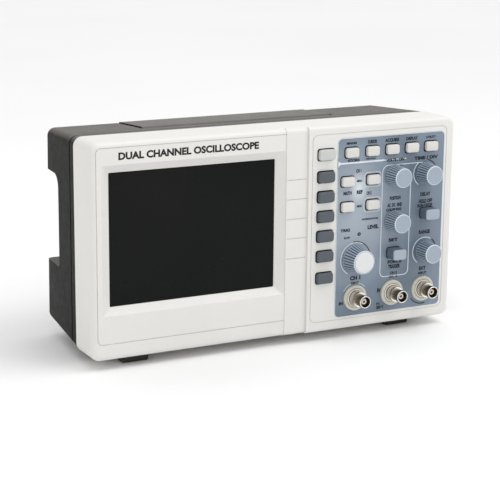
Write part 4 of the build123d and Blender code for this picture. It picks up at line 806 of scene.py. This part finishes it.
# (centre, radius, start and end in degrees, width)
# pale arcs in white ink: a painted highlight on the lit side of a ring round each knob and a socket
RING_HIGHLIGHT_ARCS = (
    (place_of("main_knob"), 13.0, 60, 240, LINE),
    (place_of("knob_low_right"), 10.9, 60, 235, LINE),
    (place_of("knob_top_right"), 10.6, 130, 235, LINE),
    (SOCKETS[0], 11.6, 40, 150, LINE * 0.7),
)
# dark arcs in dark ink: painted shade on the shaded side of those rings
RING_SHADE_ARCS = (
    (place_of("main_knob"), 13.6, -15, 100, 0.7),
    (place_of("knob_low_right"), 10.9, 15, 52, 0.9),
    (place_of("knob_top_right"), 10.6, 20, 80, 0.8),
    (SOCKETS[2], 12.4, 215, 285, 0.8),
)
RINGED_KEYS = ("menu_key_2", "menu_key_4")
RING_SIZE = (15.2, 11.6, 2.9)


def strip(bm, points, width, depth):
    """A flat printed line along (x, height) points, with square ends."""
    left, right = [], []
    for i, point in enumerate(points):
        before = Vector(points[max(i - 1, 0)])
        after = Vector(points[min(i + 1, len(points) - 1)])
        along = (after - before).normalized()
        across = Vector((-along.y, along.x)) * width / 2
        left.append(bm.verts.new(at(point[0] + across.x, depth, point[1] + across.y)))
        right.append(bm.verts.new(at(point[0] - across.x, depth, point[1] - across.y)))
    for i in range(len(points) - 1):
        bm.faces.new((left[i], left[i + 1], right[i + 1], right[i]))


def arc(x, height, radius, start, end, steps=24):
    """Points along an arc, angles in degrees from +X."""
    turns = [math.radians(start + (end - start) * step / steps) for step in range(steps + 1)]
    return [(x + radius * math.cos(t), height + radius * math.sin(t)) for t in turns]


def printed(name, build, material):
    """A printed mesh on the label."""
    piece(name, mesh_from(name, build), "control_overlay", [material])


def outline(bm, x, height, width, tall, corner, steps):
    """A flat printed outline of a rounded rectangle."""
    outer = rounded_loop(x, height, width, tall, corner, PRINT_DEPTH, steps)
    thin = 2 * EDGE_WIDTH
    inner = rounded_loop(x, height, width - thin, tall - thin, corner - EDGE_WIDTH, PRINT_DEPTH, steps)
    bridge(bm, [outer, inner], cap_first=False, cap_last=False)


def arcs(bm, table):
    """The arcs that a table lists, as flat strips of ink."""
    for (x, height), radius, start, end, width in table:
        strip(bm, arc(x, height, radius, start, end), width, PRINT_DEPTH)


def label_lines(bm):
    """The white lines on the label: its split and the boxed column, and the pale arcs round knobs and a socket, a
    painted highlight on the lit side of a ring.
    """
    strip(bm, [(LABEL_LEFT + FLARE, SPLIT), (SPLIT_THINS, SPLIT)], SPLIT_WIDTH, PRINT_DEPTH)
    strip(bm, [(SPLIT_THINS, SPLIT), (SPLIT_END, SPLIT)], SPLIT_THIN, PRINT_DEPTH)
    for i in range(FLARE_STEPS):
        near = FLARE * i / FLARE_STEPS
        spread = 2 * (FLARE - math.sqrt(FLARE**2 - (FLARE - near) ** 2))
        ends = [(LABEL_LEFT + near, SPLIT), (LABEL_LEFT + near + FLARE / FLARE_STEPS, SPLIT)]
        strip(bm, ends, SPLIT_WIDTH + spread, PRINT_DEPTH)
    box = [(BOX_RUNS_TO, BOX_TOP), (BOX_TURNS, BOX_TOP)]
    box += arc(BOX_LEFT + BOX_TOP_R, BOX_TOP - BOX_TOP_R, BOX_TOP_R, 90, 180, 8)[1:]
    box += arc(BOX_LEFT + BOX_LOW_R, BOX_BOTTOM + BOX_LOW_R, BOX_LOW_R, 180, 270, 8)
    box += arc(BOX_RIGHT - BOX_LOW_R, BOX_BOTTOM + BOX_LOW_R, BOX_LOW_R, 270, 360, 8)
    box.append((BOX_RIGHT, BOX_RIGHT_TOP))
    strip(bm, box, LINE, PRINT_DEPTH)
    arcs(bm, RING_HIGHLIGHT_ARCS)


def key_outlines(bm):
    """The pale outline round the right-hand menu keys."""
    for node in RINGED_KEYS:
        outline(bm, *place_of(node), *RING_SIZE, 6)


CAP_SHARE = 0.7


def lettering(name, words, depth, material, node, weight):
    """Printed words as one flat mesh: each is (text, x, height, letter height, width)."""
    joined = bmesh.new()
    for text, x, height, size, wide in words:
        curve = bpy.data.curves.new("word", "FONT")
        curve.body = text
        curve.align_x = "CENTER"
        curve.align_y = "CENTER"
        curve.size = size / CAP_SHARE * MM
        curve.offset = size * weight * MM
        curve.resolution_u = 3
        holder = bpy.data.objects.new("word", curve)
        bpy.context.scene.collection.objects.link(holder)
        bpy.context.view_layer.update()
        mesh = bpy.data.meshes.new_from_object(holder)
        across = [vertex.co.x for vertex in mesh.vertices]
        squeeze = wide * MM / (max(across) - min(across))
        upright = Matrix.Rotation(math.pi / 2, 4, "X")
        mesh.transform(Matrix.Translation(at(x, depth, height)) @ upright @ Matrix.Diagonal((squeeze, 1, 1, 1)))
        joined.from_mesh(mesh)
        bpy.data.objects.remove(holder)
        bpy.data.meshes.remove(mesh)
    mesh = bpy.data.meshes.new(name)
    joined.to_mesh(mesh)
    joined.free()
    piece(name, mesh, node, [material])


# (text, letter height, width) over the function keys from the left
KEY_WORDS = (
    ("MEASURE", 1.6, 9.0), ("CURSOR", 2.4, 8.4), ("ACQUIRE", 2.4, 12.6), ("DISPLAY", 2.2, 10.6), ("UTILITY", 1.6, 9.0),
)
KEY_WORD_RISE = 7.0
# (text, x, height, letter height, width)
PANEL_WORDS = [
    ("STORE", 61.0, 129.6, 1.9, 10.5), ("RECALL", 76.5, 130.0, 1.1, 9.0),
    ("CH 1", 65.8, 121.2, 2.4, 4.6), ("MENU", 66.6, 113.4, 1.5, 4.6),
    ("MATH", 56.2, 104.6, 2.5, 7.4), ("REF", 66.9, 104.6, 2.6, 5.4), ("CH 2", 75.4, 103.2, 2.3, 4.4),
    ("MENU", 67.0, 93.6, 1.5, 4.6), ("HORIZONTAL", 77.0, 82.9, 1.3, 15.0),
    ("TRIG", 55.0, 75.6, 2.1, 8.6), ("LEVEL", 79.8, 76.2, 2.8, 10.0),
    ("0", 67.4, 71.6, 2.4, 3.2), ("SLOW", 56.6, 69.7, 1.5, 5.4),
    ("VOLTS / DIV", 98.6, 127.3, 2.0, 17.0), ("TIME / DIV", 126.8, 127.0, 2.4, 22.0), ("1  2", 101.4, 122.2, 1.8, 6.6),
    ("POSITION", 99.4, 97.2, 2.5, 10.0), ("AC  DC  GND", 99.2, 91.8, 2.6, 13.6), ("COUPLING", 98.4, 88.2, 1.9, 14.0),
    ("SET", 98.7, 64.0, 2.3, 8.8), ("FORCE", 100.6, 46.4, 2.4, 13.0), ("TRIGGER", 100.2, 42.6, 2.8, 11.0),
    ("CH 2", 100.0, 37.4, 1.8, 6.4), ("X 1", 100.0, 34.4, 1.4, 8.0),
    ("DELAY", 127.2, 98.0, 2.6, 9.6), ("HOLD OFF", 127.6, 92.4, 2.8, 12.4), ("RUN / STOP", 127.2, 89.0, 2.1, 14.0),
    ("RANGE", 127.6, 67.6, 2.8, 10.4), ("EXT", 126.8, 38.2, 2.6, 6.4), ("INPUT", 127.0, 34.3, 1.8, 7.6),
    ("CH 1", 65.2, 37.0, 2.9, 9.4), ("INPUT", 64.7, 33.2, 1.6, 7.0),
    ("IN", 52.4, 17.8, 2.4, 3.6), ("IN", 86.6, 24.6, 3.0, 2.8),
    ("300 V", 88.0, 10.8, 2.4, 6.6), ("MAX", 86.4, 13.9, 1.6, 3.4),
]
TITLE = [("DUAL CHANNEL OSCILLOSCOPE", -75.6, 146.6, 4.9, 112.0)]
# how much each stroke is thickened, as a share of the letters' height
WORD_WEIGHT = 0.09
TITLE_WEIGHT = 0.065
TITLE_DEPTH = 2.27

printed("label_lines", label_lines, WHITE_INK)
# painted shade: dark arcs on the shaded side of the rings round knobs and a socket
printed("painted_ring_shade", lambda bm: arcs(bm, RING_SHADE_ARCS), DARK_INK)
printed("label_edge", lambda bm: outline(bm, *LABEL_MIDDLE, *LABEL_SIZE, LABEL_CORNER, 10), WHITE_INK)
printed("key_outlines", key_outlines, WHITE_INK)

key_words = []
for number, (text, size, wide) in enumerate(KEY_WORDS, 1):
    x, height = place_of(f"function_key_{number}")
    key_words.append((text, x, height + KEY_WORD_RISE, size, wide))
words = key_words + PANEL_WORDS
lettering("panel_words", words, PRINT_DEPTH, DARK_INK, "control_overlay", WORD_WEIGHT)
lettering("title", TITLE, TITLE_DEPTH, TITLE_INK, "front_bezel", TITLE_WEIGHT)

# ---------------------------------------------------------------- floor, light and camera


FLOOR_REACH = 30.0


def floor():
    """A wide pale studio floor."""
    mesh = bpy.data.meshes.new("floor")
    corners = [(x * FLOOR_REACH, y * FLOOR_REACH, 0) for x, y in ((-1, -1), (1, -1), (1, 1), (-1, 1))]
    mesh.from_pydata(corners, [], [(0, 1, 2, 3)])
    obj = bpy.data.objects.new("floor", mesh)
    bpy.context.scene.collection.objects.link(obj)
    shader = Shader("floor_paper", roughness=0.9, specular=0.1)
    shader.colour(shader.mixed(shader.varied(2.0, 2.0, 0.0, 1.0), grey(0.93), grey(0.955)))
    mesh.materials.append(shader.material)


def sun(name, strength, angle, direction):
    """A soft distant light, its angle in degrees."""
    light = bpy.data.lights.new(name, "SUN")
    light.energy = strength
    light.angle = math.radians(angle)
    obj = bpy.data.objects.new(name, light)
    obj.rotation_euler = Vector(direction).to_track_quat("-Z", "Y").to_euler()
    bpy.context.scene.collection.objects.link(obj)


def softbox(name, power, size, place, target):
    """A square area light at place that faces target."""
    light = bpy.data.lights.new(name, "AREA")
    light.energy = power
    light.size = size
    obj = bpy.data.objects.new(name, light)
    obj.location = place
    obj.rotation_euler = (Vector(target) - Vector(place)).to_track_quat("-Z", "Y").to_euler()
    bpy.context.scene.collection.objects.link(obj)


def world(strength):
    """An even white surround."""
    surround = bpy.data.worlds.new("studio")
    surround.use_nodes = True
    background = surround.node_tree.nodes["Background"]
    background.inputs["Color"].default_value = grey(1.0)
    background.inputs["Strength"].default_value = strength
    bpy.context.scene.world = surround


# angles in degrees, distance in metres, target on the control face
CAMERA_YAW = -27.85
CAMERA_PITCH = 13.55
CAMERA_ROLL = 0.55
CAMERA_DISTANCE = 1.176
CAMERA_TARGET = at(-27.31, 0.0, 68.95)
CAMERA_LENS = 113.99


def camera():
    """The camera, aimed at its target and rolled a little."""
    yaw, pitch, roll = (math.radians(a) for a in (CAMERA_YAW, CAMERA_PITCH, CAMERA_ROLL))
    back = Vector((math.sin(yaw) * math.cos(pitch), -math.cos(yaw) * math.cos(pitch), math.sin(pitch)))
    level = Vector((0, 0, 1)).cross(back).normalized()
    upright = back.cross(level)
    right = math.cos(roll) * level + math.sin(roll) * upright
    up = -math.sin(roll) * level + math.cos(roll) * upright
    data = bpy.data.cameras.new("camera")
    data.lens = CAMERA_LENS
    data.sensor_width = 36.0
    obj = bpy.data.objects.new("camera", data)
    turn = Matrix((right, up, back)).transposed().to_4x4()
    obj.matrix_world = Matrix.Translation(CAMERA_TARGET + back * CAMERA_DISTANCE) @ turn
    bpy.context.scene.collection.objects.link(obj)
    bpy.context.scene.camera = obj


floor()
world(0.88)
sun("fill", 0.3, 60, (-0.1, 0.1, -1.0))
softbox("key", 5.0, 0.8, (0.5, -0.5, 1.25), (0.0, 0.0, 0.05))
camera()
bpy.context.scene.view_settings.view_transform = "Standard"
